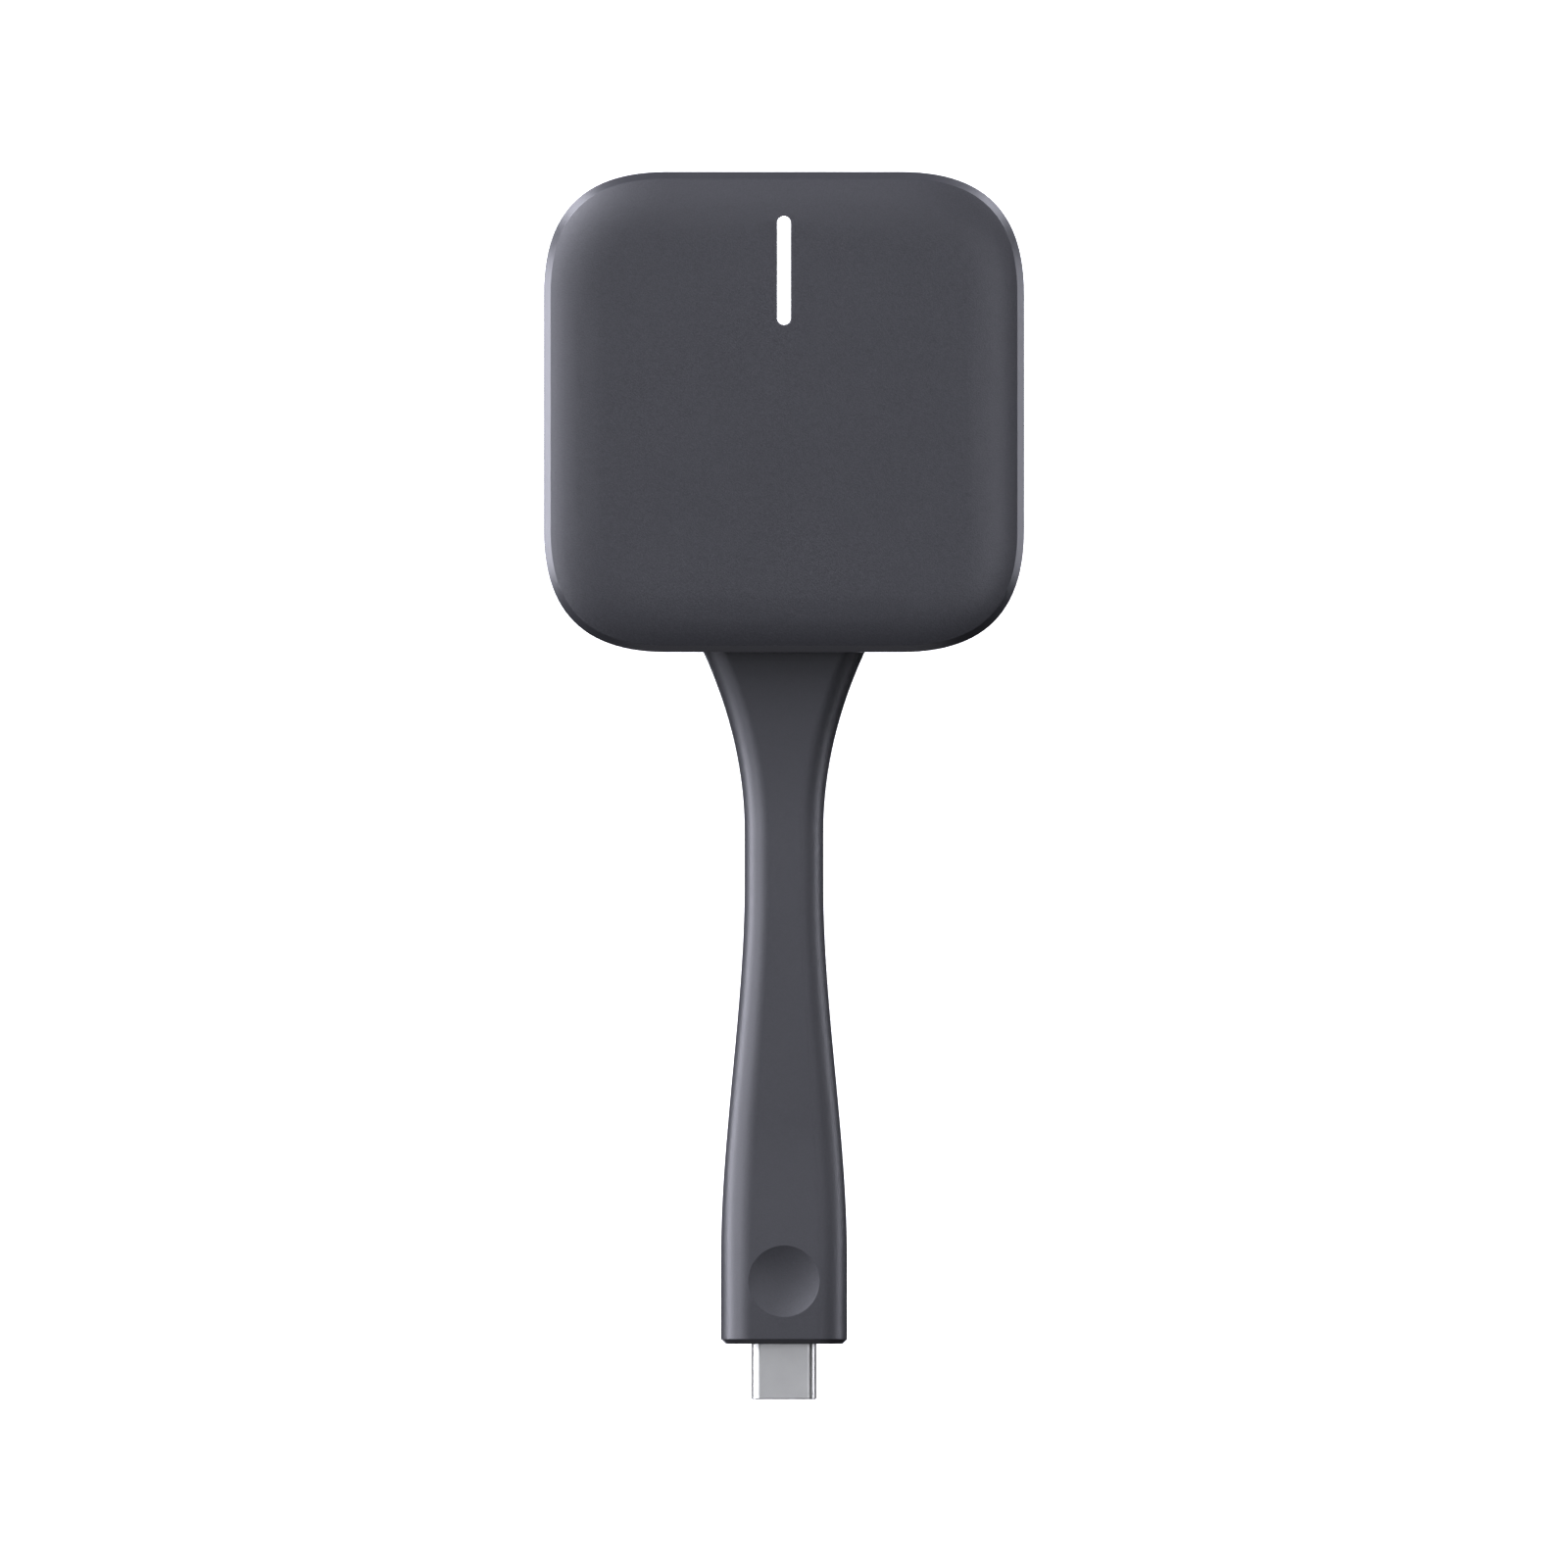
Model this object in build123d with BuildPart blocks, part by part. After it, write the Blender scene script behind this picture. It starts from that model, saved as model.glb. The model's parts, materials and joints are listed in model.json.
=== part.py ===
"""A plug-in wireless streaming key: a square push-to-share head on a flat flexible tail that ends in a plug.

The head lies on a table with its light bar up. The frame's origin is the centre of the foot pad's underside,
+Z is up, +X runs across the head and the tail runs along -Y. Everything is in millimetres.
"""

import os

from build123d import *

os.makedirs("parts", exist_ok=True)

# ---------------------------------------------------------------- driving dimensions

# Head outline: a square with long soft corners
HEAD = 61.2  # side of the square
CORNER_REACH = 15.6  # how far along each side a corner starts to turn
CORNER_PULL = 5.1  # distance of a corner curve's inner control points from the sharp corner
CORNER_PULL_LOSS = 0.448  # how much of the pull goes per millimetre of inset, which keeps the wall even

# Head, from the table up
PAD_THICK = 1.0
BASE_Z = 0.6  # underside of the lower case
PAD_TOP = PAD_THICK
FLOOR_Z = 1.9  # inner floor of the lower case
SHOULDER_Z = 8.2  # top of the lower case's outer wall
LIP_TOP = 9.6
KEY_TRAVEL = 0.4
SKIRT_Z = SHOULDER_Z + KEY_TRAVEL + 0.1  # lower edge of the key cover
CEILING_Z = 11.4  # inner ceiling of the key cover
BEVEL_Z = 11.55  # where the cover's bevel starts
RIM_Z = 12.45  # inner edge of the bevel, where the crown starts
TOP_Z = 13.4
BEVEL = 0.87  # width of the bevel seen from above
WALL = 1.8
LIP_INSET = 1.0  # outer face of the lower case's lip, from the outer wall
SKIRT_WALL = 0.8
STEP_Z = LIP_TOP + KEY_TRAVEL + 0.2  # top of the thin part of the cover's skirt
CASE_EDGE_RADIUS = 3.2
CROWN_INSETS = (1.5, 2.2, 3.1, 4.2, 5.6, 7.4, 9.8)  # outlines that the crown passes through, from the wall
CROWN_POWER = 3  # how late the crown falls away towards its rim
BOSS_Z, BOSS_RADIUS = 9.3, 2.5  # lower end of the cover's boss over the switch

# Inner frame and board
FRAME_Z = 8.0
FRAME_TOP = 9.2
FRAME_INSET = 2.0
BOARD_Z = 4.6
BOARD_TOP = 5.6
BOARD_INSET = 4.1
SCREW_PLACE = 20.2  # case screws, from the head's middle in X and Y
POST_X, POST_Y = 23.5, 11.0  # key guide posts
POST_RADIUS = 1.5
GUIDE_CLEARANCE = 0.08
POST_END = 7.95
SPRING_RADIUS = 2.1
SPRING_WIRE = 0.2

# Light bar
BAR_Y = 18.03
BAR_LENGTH = 13.85
BAR_WIDTH = 1.72
BAR_SLOT_GAP = 0.06  # how much wider and longer the cover's slot is than the bar
RIB_Z, FLANGE_Z, FLANGE_TOP = 9.4, 10.4, 11.1  # the bar's light-collecting rib and the flange over it
FLANGE_WIDTH, FLANGE_LENGTH = 3.4, 15.6

# Push switch
SWITCH_SIDE = 6.0
SWITCH_TOP = 7.6
PLUNGER_RADIUS = 1.6
PLUNGER_Z, PLUNGER_TOP = 6.9, 8.6
DOME_BASE, DOME_RISE, DOME_RADIUS = 6.42, 0.42, 1.5
DOME_SPHERE = (DOME_RADIUS**2 + DOME_RISE**2) / (2 * DOME_RISE)

# Tail
TAIL_Z = 3.9  # height of the tail's and the plug's middle line
TAIL_END = -118.7  # end face of the plug grip
WAIST = 5.03  # half the tail's width where it is narrowest; the lines below are half sizes too
ROOT_FLARE = 5.26
FLARE_LENGTH = 23.0
GRIP_SWELL = 3.02
SWELL_START, SWELL_LENGTH = 29.4, 48.0
TAIL_HALF_THICK = 2.8
ROOT_RISE = 1.4  # how much higher the top face stands where it meets the head
GRIP_EXTRA_THICK = 0.6
THICKEN_START, THICKEN_LENGTH = 60.0, 24.0
SIDE_ROUND = 3.1  # how far in from its edge the tail's side is rounded
GRIP_EXTRA_ROUND = 0.8
STATIONS = 15  # cross-sections that the tail passes through
GRIP_CHAMFER = 0.6
FLEX_FIRST, FLEX_PITCH, FLEX_COUNT = -47.0, -14.0, 4
KNUCKLE_RADIUS = 2.75
KNUCKLE_GAP = 0.2
CORE_RADIUS = 2.0
CORE_BORE = 2.1
CORE_HEAD_END, CORE_PLUG_END = -22.5, -100.8
CLAMP_SCREW = (15.5, -25.0)
CLAMP_Z, CLAMP_TOP = 7.1, 8.3
WIRE_PLUG_Y, WIRE_Z = -18.6, 6.6  # where the wires enter their connector
ANCHOR_WIDTH, ANCHOR_REAR, ANCHOR_TOP = 26.4, -23.0, 7.05
DISH_Y, DISH_RADIUS, DISH_DEPTH = -110.7, 4.55, 0.5

# Reversible 24-contact plug
PLUG_TIP = -125.75
SHELL_WIDTH, SHELL_THICK, SHELL_WALL = 8.25, 2.4, 0.3
SHELL_REAR = -111.0
TONGUE_FRONT, TONGUE_REAR = PLUG_TIP + 0.4, -112.8
MOUTH_WIDTH, MOUTH_HEIGHT, MOUTH_DEPTH = 6.8, 1.24, 5.6
CONTACT_COUNT, CONTACT_PITCH, CONTACT_WIDTH, CONTACT_THICK = 12, 0.5, 0.26, 0.14
PLUG_BOARD_WIDTH, PLUG_BOARD_THICK, PLUG_BOARD_REAR = 7.0, 0.96, -102.6
MOULD_WIDTH, MOULD_THICK, MOULD_REAR, MOULD_FRONT = 11.2, 4.8, -99.5, -116.9

WALL_Y = -HEAD / 2  # outer face of the head where the tail leaves it
corners = [(x, y) for x in (-SCREW_PLACE, SCREW_PLACE) for y in (-SCREW_PLACE, SCREW_PLACE)]
posts = [(x, y) for x in (-POST_X, POST_X) for y in (-POST_Y, POST_Y)]
clamp_places = [(-CLAMP_SCREW[0], CLAMP_SCREW[1]), CLAMP_SCREW]


# ---------------------------------------------------------------- shared outlines


def head_outline(inset=0.0):
    """Draws the head's soft-cornered square in the open BuildLine, inset from the outer wall."""
    half = HEAD / 2 - inset
    straight = HEAD / 2 - CORNER_REACH
    pull = CORNER_PULL - CORNER_PULL_LOSS * inset
    for turn in range(4):
        top = [(-straight, half), (straight, half), (half - pull, half)]
        side = [(half, half - pull), (half, straight)]
        a, b, c, d, e = (Vector(*point).rotate(Axis.Z, -90 * turn) for point in top + side)
        Line(a, b)
        Bezier(b, c, d, e)


def head_slice(z, inset=0.0):
    """The head's outline as a sketch at a height."""
    with BuildSketch(Plane.XY.offset(z)) as outline:
        with BuildLine():
            head_outline(inset)
        make_face()
    return outline.sketch


def smooth(value):
    """0 before 0, 1 after 1, with a soft start and end."""
    value = min(1.0, max(0.0, value))
    return value * value * (3 - 2 * value)


def root_flare(run):
    """1 at the head's wall, falling along a parabola to 0 where the root's flare ends."""
    return max(0.0, 1 - max(0.0, run) / FLARE_LENGTH) ** 2


def tail_half_width(run):
    """Half the tail's width at a distance from the head's wall."""
    return WAIST + ROOT_FLARE * root_flare(run) + GRIP_SWELL * smooth((run - SWELL_START) / SWELL_LENGTH)


def tail_slice(run):
    """The tail's cross-section at a distance from the head's wall: flat faces with elliptical sides."""
    width = tail_half_width(run)
    thick = TAIL_HALF_THICK + GRIP_EXTRA_THICK * smooth((run - THICKEN_START) / THICKEN_LENGTH)
    top = thick + ROOT_RISE * root_flare(run)
    side = SIDE_ROUND + GRIP_EXTRA_ROUND * smooth((run - SWELL_START) / SWELL_LENGTH)
    flat = width - side
    with BuildSketch(Plane((0, WALL_Y - run, TAIL_Z), x_dir=(1, 0, 0), z_dir=(0, -1, 0))) as section:
        with BuildLine():
            Line((flat, -thick), (-flat, -thick))
            EllipticalCenterArc((-flat, 0), side, thick, start_angle=180, arc_size=90)
            EllipticalCenterArc((-flat, 0), side, top, start_angle=90, arc_size=90)
            Line((-flat, top), (flat, top))
            EllipticalCenterArc((flat, 0), side, top, start_angle=0, arc_size=90)
            EllipticalCenterArc((flat, 0), side, thick, start_angle=270, arc_size=90)
        make_face()
    return section.sketch


def across(y, z=TAIL_Z):
    """A plane facing the plug's tip at a place along the tail, with X across and Y up."""
    return Plane((0, y, z), x_dir=(1, 0, 0), z_dir=(0, -1, 0))


# ---------------------------------------------------------------- key cover and what moves with it

with BuildPart() as cover_body:
    extrude(head_slice(SKIRT_Z), amount=BEVEL_Z - SKIRT_Z)
    loft([head_slice(BEVEL_Z), head_slice(RIM_Z, BEVEL)], ruled=True)
    crown = [head_slice(RIM_Z, BEVEL)]
    for inset in CROWN_INSETS:
        rest = (CROWN_INSETS[-1] - inset) / (CROWN_INSETS[-1] - BEVEL)
        crown.append(head_slice(TOP_Z - (TOP_Z - RIM_Z) * rest**CROWN_POWER, inset))
    loft(crown, ruled=True)

with BuildPart() as key_cover:
    add(cover_body.part)
    extrude(head_slice(SKIRT_Z, SKIRT_WALL), amount=STEP_Z - SKIRT_Z, mode=Mode.SUBTRACT)
    extrude(head_slice(STEP_Z, WALL), amount=CEILING_Z - STEP_Z, mode=Mode.SUBTRACT)
    with BuildSketch(Plane.XY.offset(POST_END)):
        with Locations(*posts):
            Circle(POST_RADIUS)
    extrude(amount=CEILING_Z - POST_END)
    with BuildSketch(Plane.XY.offset(BOSS_Z)):
        Circle(BOSS_RADIUS)
    extrude(amount=CEILING_Z - BOSS_Z)
    with BuildSketch(Plane.XY.offset(POST_END)):  # pilot holes for the retaining screws
        with Locations(*posts):
            Circle(0.8)
    extrude(amount=3.1, mode=Mode.SUBTRACT)
    with BuildSketch(Plane.XY.offset(CEILING_Z)):  # the light bar's slot
        with Locations((0, BAR_Y)):
            SlotOverall(BAR_LENGTH + BAR_SLOT_GAP, BAR_WIDTH + BAR_SLOT_GAP, rotation=90)
    extrude(amount=3.0, mode=Mode.SUBTRACT)

with BuildPart() as light_bar:
    with BuildSketch(Plane.XY.offset(FLANGE_TOP)):
        with Locations((0, BAR_Y)):
            SlotOverall(BAR_LENGTH, BAR_WIDTH, rotation=90)
    extrude(amount=3.0)
    add(cover_body.part, mode=Mode.INTERSECT)
    with BuildSketch(Plane.XY.offset(FLANGE_Z)):  # flange behind the cover's ceiling
        with Locations((0, BAR_Y)):
            RectangleRounded(FLANGE_WIDTH, FLANGE_LENGTH, 0.8)
    extrude(amount=FLANGE_TOP - FLANGE_Z)
    with BuildSketch(Plane.XY.offset(RIB_Z)):  # rib that takes in the light
        with Locations((0, BAR_Y)):
            SlotOverall(12.0, 1.5, rotation=90)
    extrude(amount=FLANGE_Z - RIB_Z)

with BuildPart() as light_bar_gasket:
    with BuildSketch(Plane.XY.offset(FLANGE_TOP)):
        with Locations((0, BAR_Y)):
            RectangleRounded(FLANGE_WIDTH, FLANGE_LENGTH, 0.8)
            SlotOverall(BAR_LENGTH + BAR_SLOT_GAP, BAR_WIDTH + BAR_SLOT_GAP, rotation=90, mode=Mode.SUBTRACT)
    extrude(amount=CEILING_Z - FLANGE_TOP)

with BuildPart() as key_retaining_screws:
    with Locations(*[(x, y, POST_END) for x, y in posts]):
        Cylinder(2.1, 1.0, align=(Align.CENTER, Align.CENTER, Align.MAX))
        Cylinder(0.8, 3.0, align=(Align.CENTER, Align.CENTER, Align.MIN))
    with Locations(*[(x, y, POST_END - 1.0) for x, y in posts]):  # cross recess
        Box(2.0, 0.5, 1.0, mode=Mode.SUBTRACT)
        Box(0.5, 2.0, 1.0, mode=Mode.SUBTRACT)

with BuildPart() as actuator_pad:
    with Locations((0, 0, PLUNGER_TOP + 0.05)):
        Cylinder(2.0, 0.65, align=(Align.CENTER, Align.CENTER, Align.MIN))

with BuildPart() as switch_plunger:
    with BuildSketch(Plane.XY.offset(PLUNGER_Z)):
        Circle(PLUNGER_RADIUS)
    extrude(amount=PLUNGER_TOP - PLUNGER_Z)
    fillet(switch_plunger.edges().group_by(Axis.Z)[-1], 0.2)


# ---------------------------------------------------------------- lower case and foot pad

with BuildPart() as lower_case:
    extrude(head_slice(BASE_Z), amount=SHOULDER_Z - BASE_Z)
    fillet(lower_case.edges().group_by(Axis.Z)[0], CASE_EDGE_RADIUS)
    extrude(head_slice(SHOULDER_Z, LIP_INSET), amount=LIP_TOP - SHOULDER_Z)
    extrude(head_slice(FLOOR_Z, WALL), amount=LIP_TOP - FLOOR_Z, mode=Mode.SUBTRACT)
    extrude(head_slice(BASE_Z, 6.0), amount=PAD_TOP - BASE_Z, mode=Mode.SUBTRACT)
    with BuildSketch(Plane.XY.offset(FLOOR_Z)):
        with Locations(*corners):
            Circle(3.2)
    extrude(amount=BOARD_Z - FLOOR_Z)
    with BuildSketch(Plane.XY.offset(FLOOR_Z)):  # bosses for the tail clamp
        with Locations(*clamp_places):
            Circle(2.1)
    extrude(amount=CLAMP_Z - FLOOR_Z)
    with BuildSketch(Plane.XY.offset(FLOOR_Z)):  # rests under the middle of the board
        with Locations((-9, 0), (9, 0), (0, 22)):
            Circle(1.4)
    extrude(amount=BOARD_Z - FLOOR_Z)
    with Locations(*[Location((x, y, PAD_TOP), (180, 0, 0)) for x, y in corners]):
        CounterBoreHole(1.1, 2.1, 1.3)
    with BuildSketch(Plane.XY.offset(CLAMP_Z)):  # pilot holes for the clamp screws
        with Locations(*clamp_places):
            Circle(0.7)
    extrude(amount=-3.5, mode=Mode.SUBTRACT)
    with BuildSketch(across(-31.5)):  # open-topped slot that the tail drops into
        with BuildLine():
            width = WAIST + ROOT_FLARE + 0.05
            flat, low = width - SIDE_ROUND, TAIL_HALF_THICK + 0.05
            Line((-flat, -low), (flat, -low))
            EllipticalCenterArc((flat, 0), SIDE_ROUND, low, start_angle=-90, arc_size=90)
            Polyline((width, 0), (width, 5.5), (-width, 5.5), (-width, 0))
            EllipticalCenterArc((-flat, 0), SIDE_ROUND, low, start_angle=180, arc_size=90)
        make_face()
    extrude(amount=-4.0, mode=Mode.SUBTRACT)

with BuildPart() as foot_pad:
    extrude(head_slice(0, 6.1), amount=PAD_THICK)
    chamfer(foot_pad.edges().group_by(Axis.Z)[0], 0.25)

with BuildPart() as case_screws:
    with Locations(*[(x, y, PAD_TOP) for x, y in corners]):
        Cylinder(1.9, 1.3, align=(Align.CENTER, Align.CENTER, Align.MIN))
        Cylinder(1.0, 7.2, align=(Align.CENTER, Align.CENTER, Align.MIN))
        Box(2.0, 0.5, 1.2, mode=Mode.SUBTRACT)
        Box(0.5, 2.0, 1.2, mode=Mode.SUBTRACT)


# ---------------------------------------------------------------- inner frame, springs and inserts

with BuildPart() as mid_frame:
    extrude(head_slice(FRAME_Z, FRAME_INSET), amount=10.4 - FRAME_Z)
    extrude(head_slice(FRAME_TOP, FRAME_INSET + 1.0), amount=2.0, mode=Mode.SUBTRACT)
    with BuildSketch(Plane.XY.offset(BOARD_TOP)):
        with Locations(*corners):
            Circle(2.6)
    extrude(amount=FRAME_Z - BOARD_TOP)
    with BuildSketch(Plane.XY.offset(BOARD_TOP)):  # insert holes
        with Locations(*corners):
            Circle(1.5)
    extrude(amount=2.8, mode=Mode.SUBTRACT)
    with BuildSketch(Plane.XY.offset(FRAME_Z)):
        Circle(4.0)
        with Locations((0, BAR_Y)):
            RectangleRounded(6.6, 16.4, 1.0)
        with Locations((0, -25.8)):  # room for the tail clamp
            Rectangle(37.2, 9.2)
        with Locations(*posts):
            Circle(POST_RADIUS + GUIDE_CLEARANCE)
        with Locations((-12.0, -1.0), (12.0, -1.0)):  # openings over the chips
            RectangleRounded(9.0, 20.0, 1.5)
    extrude(amount=3.0, mode=Mode.SUBTRACT)

with BuildPart() as threaded_inserts:
    with BuildSketch(Plane.XY.offset(BOARD_TOP + 0.1)):
        with Locations(*corners):
            Circle(1.5)
            Circle(1.03, mode=Mode.SUBTRACT)
    extrude(amount=2.6)

with BuildPart() as one_spring:
    with BuildLine() as coil:
        Helix(pitch=0.58, height=1.76, radius=SPRING_RADIUS)
    with BuildSketch(Plane(coil.line @ 0, z_dir=coil.line % 0)):
        Circle(SPRING_WIRE)
    sweep(is_frenet=True)

with BuildPart() as return_springs:
    with Locations(*[(x, y, FRAME_TOP + 0.22) for x, y in posts]):
        add(one_spring.part)


# ---------------------------------------------------------------- main board and what is soldered to it

with BuildPart() as main_board:
    extrude(head_slice(BOARD_Z, BOARD_INSET), amount=BOARD_TOP - BOARD_Z)
    with BuildSketch(Plane.XY.offset(BOARD_Z)):
        with Locations((0, -22.0)):  # notch for the tail's anchor
            RectangleRounded(36.4, 12.0, 1.0)
        with Locations(*corners):
            Circle(1.2)
    extrude(amount=BOARD_TOP - BOARD_Z, mode=Mode.SUBTRACT)


def on_board(places, length, width, height, z=BOARD_TOP):
    """Blocks standing on the board."""
    with BuildPart() as blocks:
        with BuildSketch(Plane.XY.offset(z)):
            with Locations(*places):
                Rectangle(length, width)
        extrude(amount=height)
    return blocks


processor = on_board([(-13, 4)], 10, 10, 0.9)
memory_chip = on_board([(-13, -7.5)], 8, 9, 0.8)
thermal_pad = on_board([(-13, 4)], 9.6, 9.6, 0.75, z=6.5)
wireless_module = on_board([(13, 3)], 12, 15, 0.7)
crystal = on_board([(20.5, -3)], 2.5, 3.2, 0.8)
power_chip = on_board([(12, -14.6)], 4, 4, 0.9)
capacitors = on_board(
    [(x, y) for x in (5.6, 7.0, 8.4, 17.2, 18.6) for y in (-13.4, -15.0)]
    + [(x, 13.0) for x in (-19, -17, -15, -13, -11, -9)]
    + [(x, 14.6) for x in (7.4, 8.8, 18.0, 19.4)],
    0.6,
    1.1,
    0.6,
)

with BuildPart() as power_inductors:
    with BuildSketch(Plane.XY.offset(BOARD_TOP)):
        with Locations((9, -9.2), (15, -9.2)):
            RectangleRounded(4.2, 4.2, 0.6)
    extrude(amount=1.8)

with BuildPart() as wireless_module_can:
    with BuildSketch(Plane.XY.offset(6.3)):
        with Locations((13, 1.6)):
            RectangleRounded(11, 11, 0.6)
    extrude(amount=1.2)
    fillet(wireless_module_can.edges().group_by(Axis.Z)[-1], 0.2)

with BuildPart() as shield_fence:
    with BuildSketch(Plane.XY.offset(BOARD_TOP)):
        with Locations((-13, -1)):
            Rectangle(15.0, 24.0)
            Rectangle(14.6, 23.6, mode=Mode.SUBTRACT)
    extrude(amount=1.6)

with BuildPart() as shield_lid:
    with BuildSketch(Plane.XY.offset(5.9)):
        with Locations((-13, -1)):
            Rectangle(15.5, 24.5)
    extrude(amount=1.55)
    with BuildSketch(Plane.XY.offset(5.9)):
        with Locations((-13, -1)):
            Rectangle(15.1, 24.1)
    extrude(amount=1.35, mode=Mode.SUBTRACT)

with BuildPart() as switch_body:
    with BuildSketch(Plane.XY.offset(BOARD_TOP)):
        RectangleRounded(SWITCH_SIDE, SWITCH_SIDE, 0.5)
    extrude(amount=SWITCH_TOP - BOARD_TOP)
    with BuildSketch(Plane.XY.offset(6.4)):
        Circle(PLUNGER_RADIUS + 0.1)
    extrude(amount=2.0, mode=Mode.SUBTRACT)

with BuildPart() as switch_dome:
    with Locations((0, 0, DOME_BASE + DOME_RISE - DOME_SPHERE)):
        Sphere(DOME_SPHERE)
        Sphere(DOME_SPHERE - 0.1, mode=Mode.SUBTRACT)
    split(bisect_by=Plane.XY.offset(DOME_BASE), keep=Keep.TOP)

with BuildPart() as indicator_leds:
    with BuildSketch(Plane.XY.offset(BOARD_TOP)):
        with GridLocations(1, 4.5, 1, 3), Locations((0, BAR_Y)):
            Rectangle(1.6, 1.0)
    extrude(amount=0.7)

with BuildPart() as light_baffle:
    with BuildSketch(Plane.XY.offset(BOARD_TOP)):
        with Locations((0, BAR_Y)):
            RectangleRounded(5.2, 15.2, 0.8)
            RectangleRounded(3.0, 13.4, 0.6, mode=Mode.SUBTRACT)
    extrude(amount=8.9 - BOARD_TOP)


def antenna(x):
    """A stamped aerial standing beside the board's far edge, with a folded foot and a tuning slot."""
    with BuildPart() as plate:
        with BuildSketch(Plane((x, 26.8, 5.4), x_dir=(1, 0, 0), z_dir=(0, -1, 0))):
            Rectangle(13.0, 4.6)
            with Locations((0, 0.4)):
                Rectangle(9.0, 1.2, mode=Mode.SUBTRACT)
        extrude(amount=0.3)
    return plate


antenna_left = antenna(-14.5)
antenna_right = antenna(14.5)


def lead(points, radius, bend):
    """A round lead along straight runs joined by arcs."""
    with BuildPart() as tube:
        with BuildLine() as route:
            FilletPolyline(*points, radius=bend)
        with BuildSketch(Plane(route.line @ 0, z_dir=route.line % 0)):
            Circle(radius)
        sweep()
    return tube


lead_z = BOARD_TOP + 0.58
left_route = [(6.8, 8.0), (-4.1, 8.0), (-4.1, 22.6), (-12.0, 23.6), (-12.0, 26.4)]
right_route = [(14.5, 10.6), (13.2, 17.0), (16.2, 22.0), (15.6, 26.4)]
lead_left = lead([(x, y, lead_z) for x, y in left_route], 0.55, 1.6)
lead_right = lead([(x, y, lead_z) for x, y in right_route], 0.55, 2.4)

with BuildPart() as antenna_leads:
    add(lead_left.part)
    add(lead_right.part)

with BuildPart() as board_header:
    with BuildSketch(Plane.XY.offset(BOARD_TOP)):
        with Locations((0, -14.0)):
            Rectangle(9.0, 3.2)
    extrude(amount=2.2)

with BuildPart() as wire_connector:
    with BuildSketch(Plane.XY.offset(BOARD_TOP + 0.1)):
        with Locations((0, -17.1)):
            Rectangle(8.4, 3.0)
    extrude(amount=1.9)

# ---------------------------------------------------------------- tail

stations = [(WALL_Y - TAIL_END) * step / (STATIONS - 1) for step in range(STATIONS)]
flex_places = [FLEX_FIRST + FLEX_PITCH * place for place in range(FLEX_COUNT)]

with BuildPart() as tail_blank:
    loft([tail_slice(run) for run in stations])
    chamfer(tail_blank.faces().sort_by(Axis.Y)[0].edges(), GRIP_CHAMFER)


def tail_piece(rear, front, nose=True, cup=True):
    """The blank between two places along the tail, with a round nose to the rear and a cup in front."""
    with BuildPart() as piece:
        with BuildSketch(Plane.YZ):
            with Locations(((rear + front) / 2, TAIL_Z)):
                Rectangle(rear - front, 4 * TAIL_HALF_THICK)
            if nose:
                with Locations((rear, TAIL_Z)):
                    Circle(KNUCKLE_RADIUS)
            if cup:
                with Locations((front, TAIL_Z)):
                    Circle(KNUCKLE_RADIUS + KNUCKLE_GAP, mode=Mode.SUBTRACT)
        extrude(amount=HEAD / 2, both=True)
        add(tail_blank.part, mode=Mode.INTERSECT)
        with BuildSketch(across(rear + KNUCKLE_RADIUS)):
            Circle(CORE_BORE)
        extrude(amount=rear + KNUCKLE_RADIUS - max(front, MOULD_REAR), mode=Mode.SUBTRACT)
    return piece


tail_links = [tail_piece(rear, front) for rear, front in zip(flex_places, flex_places[1:])]
root_stretch = tail_piece(WALL_Y, flex_places[0], nose=False)
root_width = 2 * (WAIST + ROOT_FLARE)
collar_height = TAIL_HALF_THICK + ROOT_RISE

with BuildPart() as tail_root:
    add(root_stretch.part)
    extrude(tail_slice(0), amount=-WALL - 0.3)
    with BuildSketch(across(WALL_Y)):  # square shoulders that fill the case's slot
        with Locations((0, collar_height / 2)):
            Rectangle(root_width, collar_height)
    extrude(amount=-WALL - 0.3)
    with Locations((0, WALL_Y + WALL, FLOOR_Z + 0.05)):  # anchor inside the case
        Box(
            ANCHOR_WIDTH,
            ANCHOR_REAR - WALL_Y - WALL,
            ANCHOR_TOP - FLOOR_Z - 0.05,
            align=(Align.CENTER, Align.MIN, Align.MIN),
        )
    with BuildSketch(across(ANCHOR_REAR)):
        Circle(CORE_RADIUS)
    extrude(amount=ANCHOR_REAR - WALL_Y, mode=Mode.SUBTRACT)

with BuildPart() as cable_core:
    with BuildSketch(across(CORE_HEAD_END)):
        Circle(CORE_RADIUS)
    extrude(amount=CORE_HEAD_END - CORE_PLUG_END)

wire_runs = [
    lead(
        [
            (0.62 * place, CORE_HEAD_END, TAIL_Z),
            (0.62 * place, CORE_HEAD_END + 1.1, TAIL_Z),
            (1.2 * place, WIRE_PLUG_Y - 1.1, WIRE_Z),
            (1.2 * place, WIRE_PLUG_Y, WIRE_Z),
        ],
        0.28,
        0.5,
    )
    for place in (-2.5, -1.5, -0.5, 0.5, 1.5, 2.5)
]
with BuildPart() as wires:
    for wire in wire_runs:
        add(wire.part)

with BuildPart() as tail_clamp:
    with BuildSketch(Plane.XY.offset(CLAMP_Z)):
        with Locations((0, -25.1)):
            RectangleRounded(36.0, 6.4, 1.2)
        with Locations(*clamp_places):
            Circle(0.9, mode=Mode.SUBTRACT)
    extrude(amount=CLAMP_TOP - CLAMP_Z)

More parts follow.
